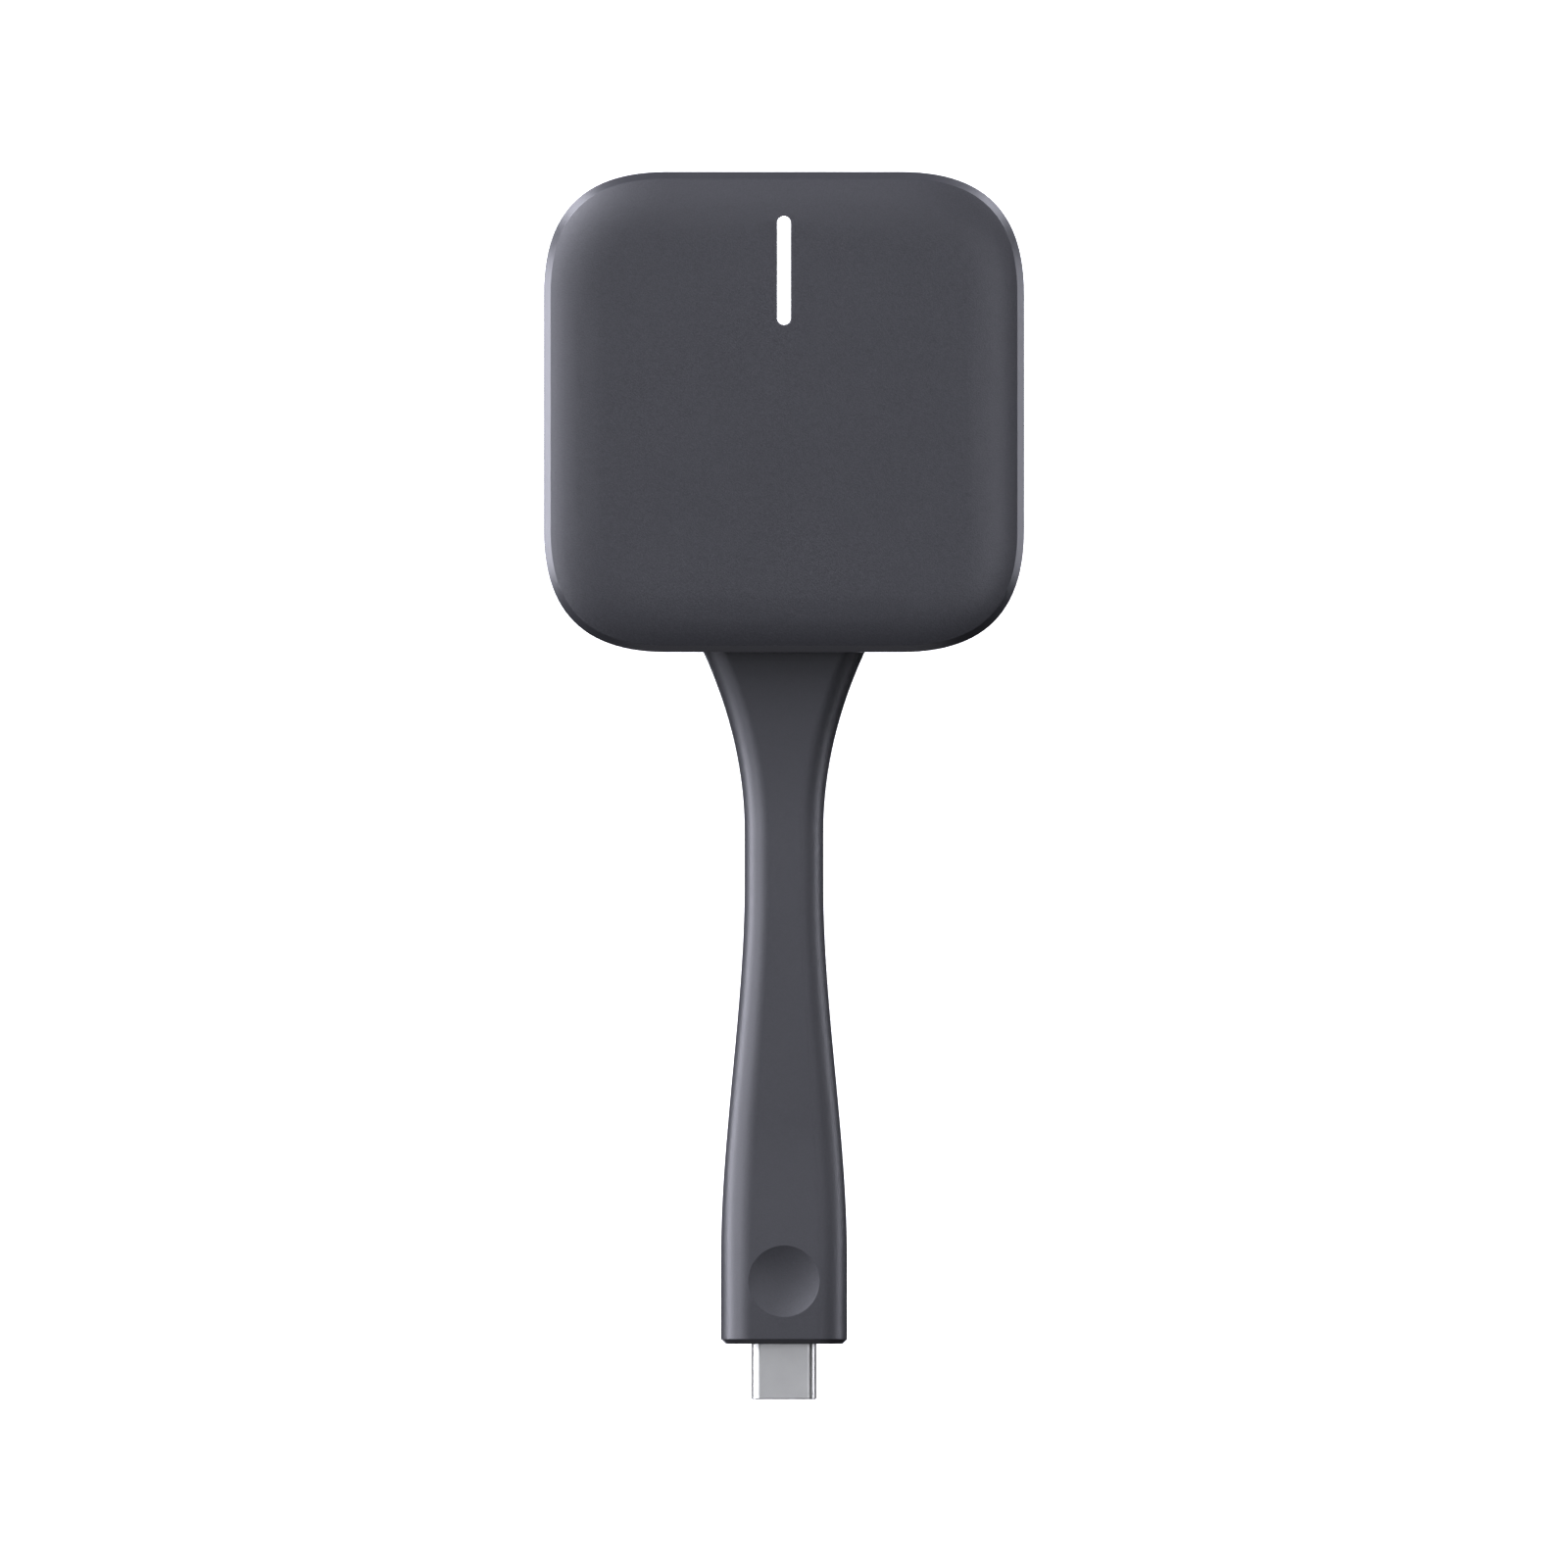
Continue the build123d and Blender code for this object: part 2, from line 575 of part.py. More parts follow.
with BuildPart() as clamp_screws:
    with Locations(*[(x, y, CLAMP_TOP) for x, y in clamp_places]):
        Cylinder(1.5, 0.8, align=(Align.CENTER, Align.CENTER, Align.MIN))
        Cylinder(0.7, 4.1, align=(Align.CENTER, Align.CENTER, Align.MAX))
    with Locations(*[(x, y, CLAMP_TOP + 0.3) for x, y in clamp_places]):
        Box(1.8, 0.4, 0.5, align=(Align.CENTER, Align.CENTER, Align.MIN), mode=Mode.SUBTRACT)
        Box(0.4, 1.8, 0.5, align=(Align.CENTER, Align.CENTER, Align.MIN), mode=Mode.SUBTRACT)


# ---------------------------------------------------------------- plug


def plug_slot(width, height, y):
    """A stadium across the plug at a place along it."""
    with BuildSketch(across(y)) as slot:
        SlotOverall(width, height)
    return slot.sketch


def plug_block(width, height, rear, front, z=TAIL_Z, x=0.0):
    """A plain block along the plug."""
    with BuildPart() as block:
        with Locations((x, (rear + front) / 2, z)):
            Box(width, rear - front, height)
    return block.part


inner_width = SHELL_WIDTH - 2 * SHELL_WALL
inner_thick = SHELL_THICK - 2 * SHELL_WALL
contact_z = MOUTH_HEIGHT / 2 - CONTACT_THICK / 2
contact_places = [CONTACT_PITCH * (place - (CONTACT_COUNT - 1) / 2) for place in range(CONTACT_COUNT)]
contact_rear, contact_front = TONGUE_REAR + 1.2, TONGUE_FRONT + 0.3
contact_rows = [
    plug_block(CONTACT_WIDTH, CONTACT_THICK, contact_rear, contact_front, TAIL_Z + side * contact_z, x)
    for side in (-1, 1)
    for x in contact_places
]
latch_x = MOUTH_WIDTH / 2 - 0.1
latch_pair = [plug_block(0.2, 0.6, TONGUE_REAR, TONGUE_FRONT + 0.8, x=side * latch_x) for side in (-1, 1)]

with BuildPart() as plug_contacts:
    add(contact_rows)

with BuildPart() as plug_latches:
    add(latch_pair)

with BuildPart() as plug_housing:
    extrude(plug_slot(inner_width, inner_thick, TONGUE_REAR), amount=TONGUE_REAR - TONGUE_FRONT)
    mouth = plug_block(MOUTH_WIDTH, MOUTH_HEIGHT, TONGUE_FRONT + MOUTH_DEPTH, TONGUE_FRONT)
    add(mouth, mode=Mode.SUBTRACT)
    add(contact_rows + latch_pair, mode=Mode.SUBTRACT)

with BuildPart() as plug_shell:
    extrude(plug_slot(SHELL_WIDTH, SHELL_THICK, SHELL_REAR), amount=SHELL_REAR - PLUG_TIP)
    fillet(plug_shell.faces().sort_by(Axis.Y)[0].outer_wire().edges(), 0.12)
    bore = plug_slot(inner_width, inner_thick, SHELL_REAR)
    extrude(bore, amount=SHELL_REAR - PLUG_TIP, mode=Mode.SUBTRACT)

with BuildPart() as plug_board:
    add(plug_block(PLUG_BOARD_WIDTH, PLUG_BOARD_THICK, PLUG_BOARD_REAR, TONGUE_REAR))

with BuildPart() as crimp_ferrule:
    with BuildSketch(across(MOULD_REAR)):
        Circle(CORE_RADIUS + 0.2)
        Circle(CORE_RADIUS, mode=Mode.SUBTRACT)
    extrude(amount=MOULD_REAR - CORE_PLUG_END)

with BuildPart() as mould_block:
    with BuildSketch(across(MOULD_REAR)):
        RectangleRounded(MOULD_WIDTH, MOULD_THICK, 1.5)
    extrude(amount=MOULD_REAR - MOULD_FRONT)

with BuildPart() as plug_inner_mould:
    add(mould_block.part)
    shell_seat = plug_slot(SHELL_WIDTH, SHELL_THICK, SHELL_REAR)
    extrude(shell_seat, amount=SHELL_REAR - MOULD_FRONT, mode=Mode.SUBTRACT)
    add(plug_board.part, mode=Mode.SUBTRACT)
    with BuildSketch(across(MOULD_REAR)):
        Circle(CORE_RADIUS + 0.2)
    extrude(amount=MOULD_REAR - CORE_PLUG_END, mode=Mode.SUBTRACT)

grip_stretch = tail_piece(flex_places[-1], TAIL_END, cup=False)
dish_sphere = (DISH_RADIUS**2 + DISH_DEPTH**2) / (2 * DISH_DEPTH)
grip_top = TAIL_Z + TAIL_HALF_THICK + GRIP_EXTRA_THICK

with BuildPart() as plug_grip:
    add(grip_stretch.part)
    add(mould_block.part, mode=Mode.SUBTRACT)
    shell_hole = plug_slot(SHELL_WIDTH, SHELL_THICK, MOULD_FRONT)
    extrude(shell_hole, amount=MOULD_FRONT - TAIL_END, mode=Mode.SUBTRACT)
    with Locations((0, DISH_Y, grip_top - DISH_DEPTH + dish_sphere)):
        Sphere(dish_sphere, mode=Mode.SUBTRACT)


# ---------------------------------------------------------------- labels and files

nodes = {
    "key_cover": key_cover,
    "light_bar": light_bar,
    "light_bar_gasket": light_bar_gasket,
    "key_retaining_screws": key_retaining_screws,
    "actuator_pad": actuator_pad,
    "switch_plunger": switch_plunger,
    "lower_case": lower_case,
    "foot_pad": foot_pad,
    "case_screws": case_screws,
    "mid_frame": mid_frame,
    "threaded_inserts": threaded_inserts,
    "return_springs": return_springs,
    "main_board": main_board,
    "processor": processor,
    "memory_chip": memory_chip,
    "thermal_pad": thermal_pad,
    "wireless_module": wireless_module,
    "wireless_module_can": wireless_module_can,
    "crystal": crystal,
    "power_chip": power_chip,
    "capacitors": capacitors,
    "power_inductors": power_inductors,
    "shield_fence": shield_fence,
    "shield_lid": shield_lid,
    "switch_body": switch_body,
    "switch_dome": switch_dome,
    "indicator_leds": indicator_leds,
    "light_baffle": light_baffle,
    "antenna_left": antenna_left,
    "antenna_right": antenna_right,
    "antenna_leads": antenna_leads,
    "board_header": board_header,
    "wire_connector": wire_connector,
    "wires": wires,
    "tail_clamp": tail_clamp,
    "clamp_screws": clamp_screws,
    "tail_root": tail_root,
    "cable_core": cable_core,
    "plug_grip": plug_grip,
    "plug_inner_mould": plug_inner_mould,
    "plug_board": plug_board,
    "crimp_ferrule": crimp_ferrule,
    "plug_shell": plug_shell,
    "plug_housing": plug_housing,
    "plug_contacts": plug_contacts,
    "plug_latches": plug_latches,
}
for number, link in enumerate(tail_links, start=1):
    nodes[f"tail_link_{number}"] = link

for name, piece in nodes.items():
    piece.part.label = name
    export_step(piece.part, f"parts/{name}.step")
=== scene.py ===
"""Looks for a plug-in streaming key: a square push-button head, a soft tail and a reversible plug.

Laid out as a Blender add-on. Each piece has its own operator, and the sidebar panel lists them in the
order in which they are made. Lengths are in metres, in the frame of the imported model: +Z up, the tail
towards -Y.
"""

import json
import math

import bpy
from bpy.props import FloatProperty, FloatVectorProperty, IntProperty, PointerProperty
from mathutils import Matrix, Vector
from mathutils.geometry import delaunay_2d_cdt


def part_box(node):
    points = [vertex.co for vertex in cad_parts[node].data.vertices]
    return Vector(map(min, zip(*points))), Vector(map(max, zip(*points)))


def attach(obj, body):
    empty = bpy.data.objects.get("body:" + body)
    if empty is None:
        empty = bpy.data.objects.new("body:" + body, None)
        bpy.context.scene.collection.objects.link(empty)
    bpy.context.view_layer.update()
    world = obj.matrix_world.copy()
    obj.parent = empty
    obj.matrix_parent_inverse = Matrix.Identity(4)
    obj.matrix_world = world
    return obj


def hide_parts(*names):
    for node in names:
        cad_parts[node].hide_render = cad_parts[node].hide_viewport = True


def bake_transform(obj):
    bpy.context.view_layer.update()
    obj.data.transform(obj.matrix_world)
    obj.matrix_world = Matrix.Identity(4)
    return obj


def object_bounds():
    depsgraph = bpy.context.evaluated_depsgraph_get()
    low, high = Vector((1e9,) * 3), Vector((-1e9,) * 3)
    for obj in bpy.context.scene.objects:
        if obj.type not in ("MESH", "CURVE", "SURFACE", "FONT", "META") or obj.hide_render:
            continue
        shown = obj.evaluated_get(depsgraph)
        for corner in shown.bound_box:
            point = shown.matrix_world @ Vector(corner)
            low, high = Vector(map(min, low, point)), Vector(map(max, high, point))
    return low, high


bl_info = {
    "name": "Streaming key",
    "version": (1, 0, 0),
    "blender": (4, 5, 0),
    "location": "3D View > Sidebar > Streaming key",
    "description": "Builds the visible pieces, finishes and stage of a plug-in streaming key",
    "category": "Object",
}

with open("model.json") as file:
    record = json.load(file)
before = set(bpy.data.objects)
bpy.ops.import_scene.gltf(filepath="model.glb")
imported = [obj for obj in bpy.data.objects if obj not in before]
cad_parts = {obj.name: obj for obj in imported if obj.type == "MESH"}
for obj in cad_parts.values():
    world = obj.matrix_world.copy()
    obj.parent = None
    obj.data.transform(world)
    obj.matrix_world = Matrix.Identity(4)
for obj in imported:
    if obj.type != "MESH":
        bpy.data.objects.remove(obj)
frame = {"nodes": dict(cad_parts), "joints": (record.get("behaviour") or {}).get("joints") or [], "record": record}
cad_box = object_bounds()

MM = 0.001

# Places read from the frame
COVER_LOW, COVER_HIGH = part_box("key_cover")
CASE_LOW, CASE_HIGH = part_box("lower_case")
_, PAD_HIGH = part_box("foot_pad")
BAR_LOW, BAR_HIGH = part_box("light_bar")
SHELL_LOW, SHELL_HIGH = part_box("plug_shell")
GRIP_LOW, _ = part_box("plug_grip")
CORE_LOW, CORE_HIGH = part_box("cable_core")

HALF = COVER_HIGH.x
TOP_Z = COVER_HIGH.z
SKIRT_Z = COVER_LOW.z
BASE_Z = CASE_LOW.z
PAD_HALF = PAD_HIGH.x
TAIL_Z = (CORE_LOW.z + CORE_HIGH.z) / 2
WALL_Y = -HALF
TAIL_END = GRIP_LOW.y
PLUG_TIP = SHELL_LOW.y
BAR_Y = (BAR_LOW.y + BAR_HIGH.y) / 2
HINGES = [joint for joint in frame["joints"] if joint["name"].startswith("tail_bend")]


# ---------------------------------------------------------------- properties


class KeyHeadSettings(bpy.types.PropertyGroup):
    """Sizes and colour of the head: key cover, lower case and foot pad."""

    colour: FloatVectorProperty(
        name="Plastic",
        description="Base colour of the satin plastic",
        subtype="COLOR",
        size=3,
        min=0.0,
        max=1.0,
        default=(0.0150, 0.0152, 0.0166),
    )
    bevel: FloatProperty(
        name="Bevel",
        description="Width of the cover's bevel seen from above",
        default=0.87 * MM,
        unit="LENGTH",
    )
    rim_drop: FloatProperty(
        name="Rim drop",
        description="How far the crown falls from the middle to the bevel",
        default=0.95 * MM,
        unit="LENGTH",
    )
    crown_reach: FloatProperty(
        name="Crown reach",
        description="Distance from the wall at which the crown turns flat",
        default=9.8 * MM,
        unit="LENGTH",
    )
    grain: FloatProperty(
        name="Grain",
        description="Size of the spark-eroded grain",
        default=0.19 * MM,
        unit="LENGTH",
    )


class TailSettings(bpy.types.PropertyGroup):
    """Sizes and colour of the soft tail."""

    colour: FloatVectorProperty(
        name="Elastomer",
        description="Base colour of the soft moulding",
        subtype="COLOR",
        size=3,
        min=0.0,
        max=1.0,
        default=(0.0155, 0.0158, 0.0172),
    )
    waist: FloatProperty(
        name="Waist", description="Half the tail's width at its waist", default=5.03 * MM, unit="LENGTH"
    )
    dish: FloatProperty(
        name="Dish", description="Radius of the finger dish", default=4.55 * MM, unit="LENGTH"
    )
    rings: IntProperty(
        name="Rings", description="Cross-sections in each bending stretch", default=36, min=8, max=96
    )


class LightBarSettings(bpy.types.PropertyGroup):
    """Size and glow of the light bar."""

    length: FloatProperty(
        name="Length", description="Overall length of the lit slot", default=13.85 * MM, unit="LENGTH"
    )
    width: FloatProperty(name="Width", description="Width of the lit slot", default=1.72 * MM, unit="LENGTH")
    glow: FloatVectorProperty(
        name="Glow",
        description="Colour of the light",
        subtype="COLOR",
        size=3,
        min=0.0,
        max=1.0,
        default=(1.0, 1.0, 1.0),
    )


class PlugSettings(bpy.types.PropertyGroup):
    """Size and colour of the plug's metal shell."""

    colour: FloatVectorProperty(
        name="Metal",
        description="Colour of the satin-plated shell",
        subtype="COLOR",
        size=3,
        min=0.0,
        max=1.0,
        default=(0.35, 0.352, 0.326),
    )
    wall: FloatProperty(
        name="Wall", description="Thickness of the shell's sheet", default=0.3 * MM, unit="LENGTH"
    )


# ---------------------------------------------------------------- shader maths


class Value:
    """A shader socket that Python expressions can use: each operator adds a node."""

    def __init__(self, tree, socket):
        self.tree = tree
        self.socket = socket

    def _math(self, operation, *operands):
        made = add_node(self.tree, "ShaderNodeMath", {"operation": operation})
        for place, operand in enumerate(operands):
            feed(self.tree, made.inputs[place], operand)
        return Value(self.tree, made.outputs[0])

    def __add__(self, other):
        return self._math("ADD", self, other)

    def __radd__(self, other):
        return self._math("ADD", other, self)

    def __sub__(self, other):
        return self._math("SUBTRACT", self, other)

    def __rsub__(self, other):
        return self._math("SUBTRACT", other, self)

    def __mul__(self, other):
        return self._math("MULTIPLY", self, other)

    def above(self, edge, soft):
        """0 under edge - soft, 1 over edge + soft, with a smooth ramp between."""
        made = add_node(
            self.tree,
            "ShaderNodeMapRange",
            {"interpolation_type": "SMOOTHSTEP"},
            Value=self,
            From_Min=edge - soft,
            From_Max=edge + soft,
        )
        return Value(self.tree, made.outputs["Result"])


def feed(tree, socket, value):
    """Links a Value or a socket to an input, or sets the input's own value."""
    if isinstance(value, Value):
        tree.links.new(value.socket, socket)
    elif isinstance(value, bpy.types.NodeSocket):
        tree.links.new(value, socket)
    else:
        socket.default_value = value


def add_node(tree, kind, settings=None, **inputs):
    """Adds a node, applies its settings first, then sets or links its inputs by name."""
    made = tree.nodes.new(kind)
    for name, setting in (settings or {}).items():
        setattr(made, name, setting)
    for name, value in inputs.items():
        feed(tree, made.inputs[name.replace("_", " ")], value)
    return made


class Finish:
    """A material being written: its tree, its Principled shader and the coordinates of the piece."""

    def __init__(self, name):
        self.material = bpy.data.materials.new(name)
        self.material.use_nodes = True
        self.tree = self.material.node_tree
        self.shader = self.tree.nodes["Principled BSDF"]
        place = add_node(self.tree, "ShaderNodeTexCoord")
        self.place = place.outputs["Object"]

    def noise(self, size, detail=2.0, vector=None):
        """Fractal noise with features about this size, in metres, from 0 to 1."""
        made = add_node(
            self.tree,
            "ShaderNodeTexNoise",
            {"noise_dimensions": "3D"},
            Vector=vector or self.place,
            Scale=1.0 / size,
            Detail=detail,
            Roughness=0.5,
        )
        return Value(self.tree, made.outputs["Fac"])

    def cells(self, size, vector=None, feature="F1"):
        """Distance to the nearest cell centre, for cells about this size."""
        made = add_node(
            self.tree,
            "ShaderNodeTexVoronoi",
            {"feature": feature},
            Vector=vector or self.place,
            Scale=1.0 / size,
        )
        return Value(self.tree, made.outputs["Distance"])

    def stretched(self, scale):
        """The piece's coordinates scaled along each axis."""
        made = add_node(self.tree, "ShaderNodeMapping", Vector=self.place, Scale=scale)
        return made.outputs["Vector"]

    def axis(self, name):
        """One of the piece's coordinates."""
        made = add_node(self.tree, "ShaderNodeSeparateXYZ", Vector=self.place)
        return Value(self.tree, made.outputs[name])

    def mix(self, factor, first, second):
        """A colour between two others."""
        made = add_node(self.tree, "ShaderNodeMix", {"data_type": "RGBA"})
        feed(self.tree, made.inputs[0], factor)
        feed(self.tree, made.inputs[6], opaque(first))
        feed(self.tree, made.inputs[7], opaque(second))
        return made.outputs[2]

    def bump(self, height, distance):
        """A normal from a height field whose full range is this distance."""
        made = add_node(
            self.tree, "ShaderNodeBump", Height=height, Strength=1.0, Distance=distance
        )
        return made.outputs["Normal"]

    def set(self, **inputs):
        """Sets or links the Principled shader's inputs."""
        for name, value in inputs.items():
            feed(self.tree, self.shader.inputs[name.replace("_", " ")], opaque(value))
        return self.material


def opaque(colour):
    """A three-number colour with full alpha; anything else unchanged."""
    three = hasattr(colour, "__len__") and len(colour) == 3
    return (*colour, 1.0) if three else colour


def shade(colour, factor):
    """A colour made lighter or darker."""
    return tuple(min(1.0, channel * factor) for channel in colour)


# ---------------------------------------------------------------- finishes


def moulded_plastic(name, colour, grain, roughness, depth, speckle=0.16):
    """Satin plastic from a spark-eroded mould: grain in the height, and a little of it in colour and gloss."""
    finish = Finish(name)
    fine = finish.noise(grain, detail=2.0)
    broad = finish.noise(grain * 60, detail=3.0)
    tone = fine.above(0.5, 0.22)
    base = finish.mix(tone, shade(colour, 1 - speckle), shade(colour, 1 + speckle))
    return finish.set(
        Base_Color=finish.mix(broad * 0.25, base, shade(colour, 1.18)),
        Roughness=roughness - 0.04 + fine * 0.06 + broad * 0.03,
        Specular_IOR_Level=0.5,
        Normal=finish.bump(fine, depth),
    )


def polished_bevel(name, colour, roughness):
    """The same plastic where the mould was polished: nearly smooth, with faint tool marks."""
    finish = Finish(name)
    marks = finish.noise(0.5 * MM, detail=3.0)
    return finish.set(
        Base_Color=finish.mix(marks, shade(colour, 0.96), shade(colour, 1.06)),
        Roughness=roughness + marks * 0.05,
        Specular_IOR_Level=0.5,
        Normal=finish.bump(marks, 0.0015 * MM),
    )


def lit_diffuser(name, glow):
    """A milky bar lit from behind, a shade softer at its ends."""
    finish = Finish(name)
    along = finish.axis("Y") - BAR_Y
    ends = (along * along).above((6.3 * MM) ** 2, (2.4 * MM) ** 2)
    haze = finish.noise(0.9 * MM, detail=1.0)
    return finish.set(
        Base_Color=finish.mix(haze, (0.86, 0.87, 0.9), (0.93, 0.94, 0.96)),
        Roughness=0.35 + haze * 0.08,
        Emission_Color=finish.mix(ends, glow, shade(glow, 0.9)),
        Emission_Strength=1.25,
    )


def satin_metal(name, colour, roughness, grain=0.12 * MM, drawn=(1.0, 1.0, 1.0)):
    """Plated or drawn sheet: fine marks along one way and slight staining."""
    finish = Finish(name)
    marks = finish.noise(grain, detail=3.0, vector=finish.stretched(drawn))
    stain = finish.noise(2.5 * MM, detail=3.0)
    return finish.set(
        Base_Color=finish.mix(stain, shade(colour, 0.93), shade(colour, 1.05)),
        Metallic=1.0,
        Roughness=roughness + marks * 0.08,
        Normal=finish.bump(marks, 0.002 * MM),
    )


def soft_rubber(name, colour, roughness=0.75, grain=0.25 * MM):
    """Matte rubber with a dusting of paler specks."""
    finish = Finish(name)
    fine = finish.noise(grain, detail=3.0)
    dust = finish.noise(1.6 * MM, detail=4.0).above(0.58, 0.08)
    base = finish.mix(fine, shade(colour, 0.85), shade(colour, 1.15))
    return finish.set(
        Base_Color=finish.mix(dust * 0.25, base, shade(colour, 1.6)),
        Roughness=roughness + fine * 0.1,
        Normal=finish.bump(fine, 0.01 * MM),
    )


def plain_moulding(name, colour, roughness=0.45, grain=0.3 * MM):
    """An inner plastic piece: even colour with flow marks and a light texture."""
    finish = Finish(name)
    fine = finish.noise(grain, detail=2.0)
    flow = finish.noise(3.0 * MM, detail=2.0, vector=finish.stretched((1.0, 0.3, 1.0)))
    return finish.set(
        Base_Color=finish.mix(flow, shade(colour, 0.92), shade(colour, 1.08)),
        Roughness=roughness + fine * 0.1,
        Normal=finish.bump(fine, 0.006 * MM),
    )


def board_laminate(name, mask_colour):
    """Solder-masked laminate: copper tracks show as paler lines under the mask, with plated holes."""
    finish = Finish(name)
    run = finish.cells(2.1 * MM, feature="DISTANCE_TO_EDGE", vector=finish.stretched((1.0, 1.0, 0.0)))
    track = 1 - run.above(0.06, 0.03)
    via = 1 - finish.cells(1.7 * MM, vector=finish.stretched((1.0, 1.0, 0.0))).above(0.12, 0.02)
    masked = finish.mix(track, mask_colour, shade(mask_colour, 1.9))
    return finish.set(
        Base_Color=finish.mix(via, masked, (0.55, 0.42, 0.16)),
        Metallic=via * 0.8,
        Roughness=0.32 + track * 0.08,
        Normal=finish.bump(track, 0.03 * MM),
    )


def fired_ceramic(name, body, ends):
    """Small fired parts: a speckled body with tinned ends that show as paler bands."""
    finish = Finish(name)
    speck = finish.noise(0.12 * MM, detail=3.0)
    band = finish.noise(0.8 * MM, detail=0.0).above(0.6, 0.03)
    return finish.set(
        Base_Color=finish.mix(band, finish.mix(speck, shade(body, 0.85), shade(body, 1.15)), ends),
        Metallic=band * 0.9,
        Roughness=0.4 + speck * 0.1,
    )


# ---------------------------------------------------------------- mesh building


class Skin:
    """Collects welded points and faces, some with exact normals, and turns them into a piece."""

    WELD = 1e-8

    def __init__(self):
        self.points = []
        self.places = {}
        self.faces = []
        self.exact = {}
        self.slots = []

    def point(self, place):
        key = tuple(round(value / self.WELD) for value in place)
        if key not in self.places:
            self.places[key] = len(self.points)
            self.points.append(tuple(place))
        return self.places[key]

    def face(self, corners, normals=None, slot=0):
        """Adds a face by its corner places; corners that fall together are dropped."""
        marks = [self.point(corner) for corner in corners]
        kept = [place for place, mark in enumerate(marks) if mark not in marks[:place]]
        if len(kept) < 3:
            return
        if normals:
            self.exact[len(self.faces)] = [normals[place] for place in kept]
        self.faces.append([marks[place] for place in kept])
        self.slots.append(slot)

    def strip(self, first, second, normals=None, slot=0, closed=True, flip=False):
        """Joins two rows of places with quads."""
        count = len(first)
        for place in range(count if closed else count - 1):
            after = (place + 1) % count
            corners = [first[place], first[after], second[after], second[place]]
            given = None
            if normals:
                given = [normals[0][place], normals[0][after], normals[1][after], normals[1][place]]
            if flip:
                corners.reverse()
                given = given[::-1] if given else None
            self.face(corners, given, slot)

    def plate(self, outer, holes=(), inner=(), up=True, normal=None, flat=lambda place: place[:2]):
        """Fills between an outer loop and any holes, through inner points, with triangles."""
        places = [*outer]
        edges = [(mark, (mark + 1) % len(outer)) for mark in range(len(outer))]
        for hole in holes:
            start = len(places)
            places += hole
            edges += [(start + mark, start + (mark + 1) % len(hole)) for mark in range(len(hole))]
        places += inner
        spots = [Vector(flat(place)) for place in places]
        result = delaunay_2d_cdt(spots, edges, [], 1, 1e-9)
        found, sources = result[0], result[3]
        cuts = [[Vector(flat(place)) for place in hole] for hole in holes]
        for triangle in result[2]:
            middle = sum((found[mark] for mark in triangle), Vector((0.0, 0.0))) / 3
            if any(inside(middle, cut) for cut in cuts):
                continue
            corners = [places[sources[mark][0]] for mark in triangle]
            if not up:
                corners.reverse()
            self.face(corners, [normal(corner) for corner in corners] if normal else None)

    def piece(self, name, *materials, soft_angle=38.0):
        """Makes the object, with area-weighted normals that break at sharp edges where none are exact."""
        mesh = bpy.data.meshes.new(name)
        mesh.from_pydata(self.points, [], self.faces)
        for material in materials:
            mesh.materials.append(material)
        for face, slot in zip(mesh.polygons, self.slots):
            face.use_smooth = True
            face.material_index = slot
        around = [[] for _ in self.points]
        for face in mesh.polygons:
            for mark in face.vertices:
                around[mark].append((face.normal.copy(), face.area))
        limit = math.cos(math.radians(soft_angle))
        normals = []
        for face in mesh.polygons:
            given = self.exact.get(face.index)
            if given:
                normals += given
                continue
            for mark in face.vertices:
                near = [n * area for n, area in around[mark] if n.dot(face.normal) > limit]
                normals.append(sum(near, Vector()).normalized())
        mesh.normals_split_custom_set(normals)
        made = bpy.data.objects.new(name, mesh)
        bpy.context.collection.objects.link(made)
        return made


def inside(spot, loop):
    """True if a flat point is inside a closed loop."""
    hit = False
    for first, second in zip(loop, loop[1:] + loop[:1]):
        if (first.y > spot.y) != (second.y > spot.y):
            crossing = first.x + (spot.y - first.y) * (second.x - first.x) / (second.y - first.y)
            hit ^= spot.x < crossing
    return hit


def rounded(corners, steps=4):
    """A path of (across, up, radius) corners with each corner turned into an arc."""
    path = []
    for place, (x, z, radius) in enumerate(corners):
        here = Vector((x, z))
        if radius == 0 or place in (0, len(corners) - 1):
            path.append(here)
            continue
        back = (Vector(corners[place - 1][:2]) - here).normalized()
        ahead = (Vector(corners[place + 1][:2]) - here).normalized()
        half = back.angle(ahead) / 2
        reach = radius / math.tan(half)
        centre = here + (back + ahead).normalized() * radius / math.sin(half)
        start, end = here + back * reach - centre, here + ahead * reach - centre
        swing = start.angle_signed(end)
        for step in range(steps + 1):
            turn = -swing * step / steps
            cosine, sine = math.cos(turn), math.sin(turn)
            path.append(centre + Vector((start.x * cosine - start.y * sine, start.x * sine + start.y * cosine)))
    return path


def stadium(centre, length, width, steps=20):
    """A slot's outline along Y, as flat places running counter-clockwise."""
    radius = width / 2
    reach = length / 2 - radius
    loop = []
    for side, start in ((1, 0.0), (-1, math.pi)):
        for step in range(steps + 1):
            turn = start + math.pi * step / steps
            loop.append((centre[0] + radius * math.cos(turn), centre[1] + side * reach + radius * math.sin(turn)))
    return loop


# ---------------------------------------------------------------- the head's shape

CORNER_REACH = 15.6 * MM
CORNER_PULL = 5.1 * MM
CORNER_PULL_LOSS = 0.448


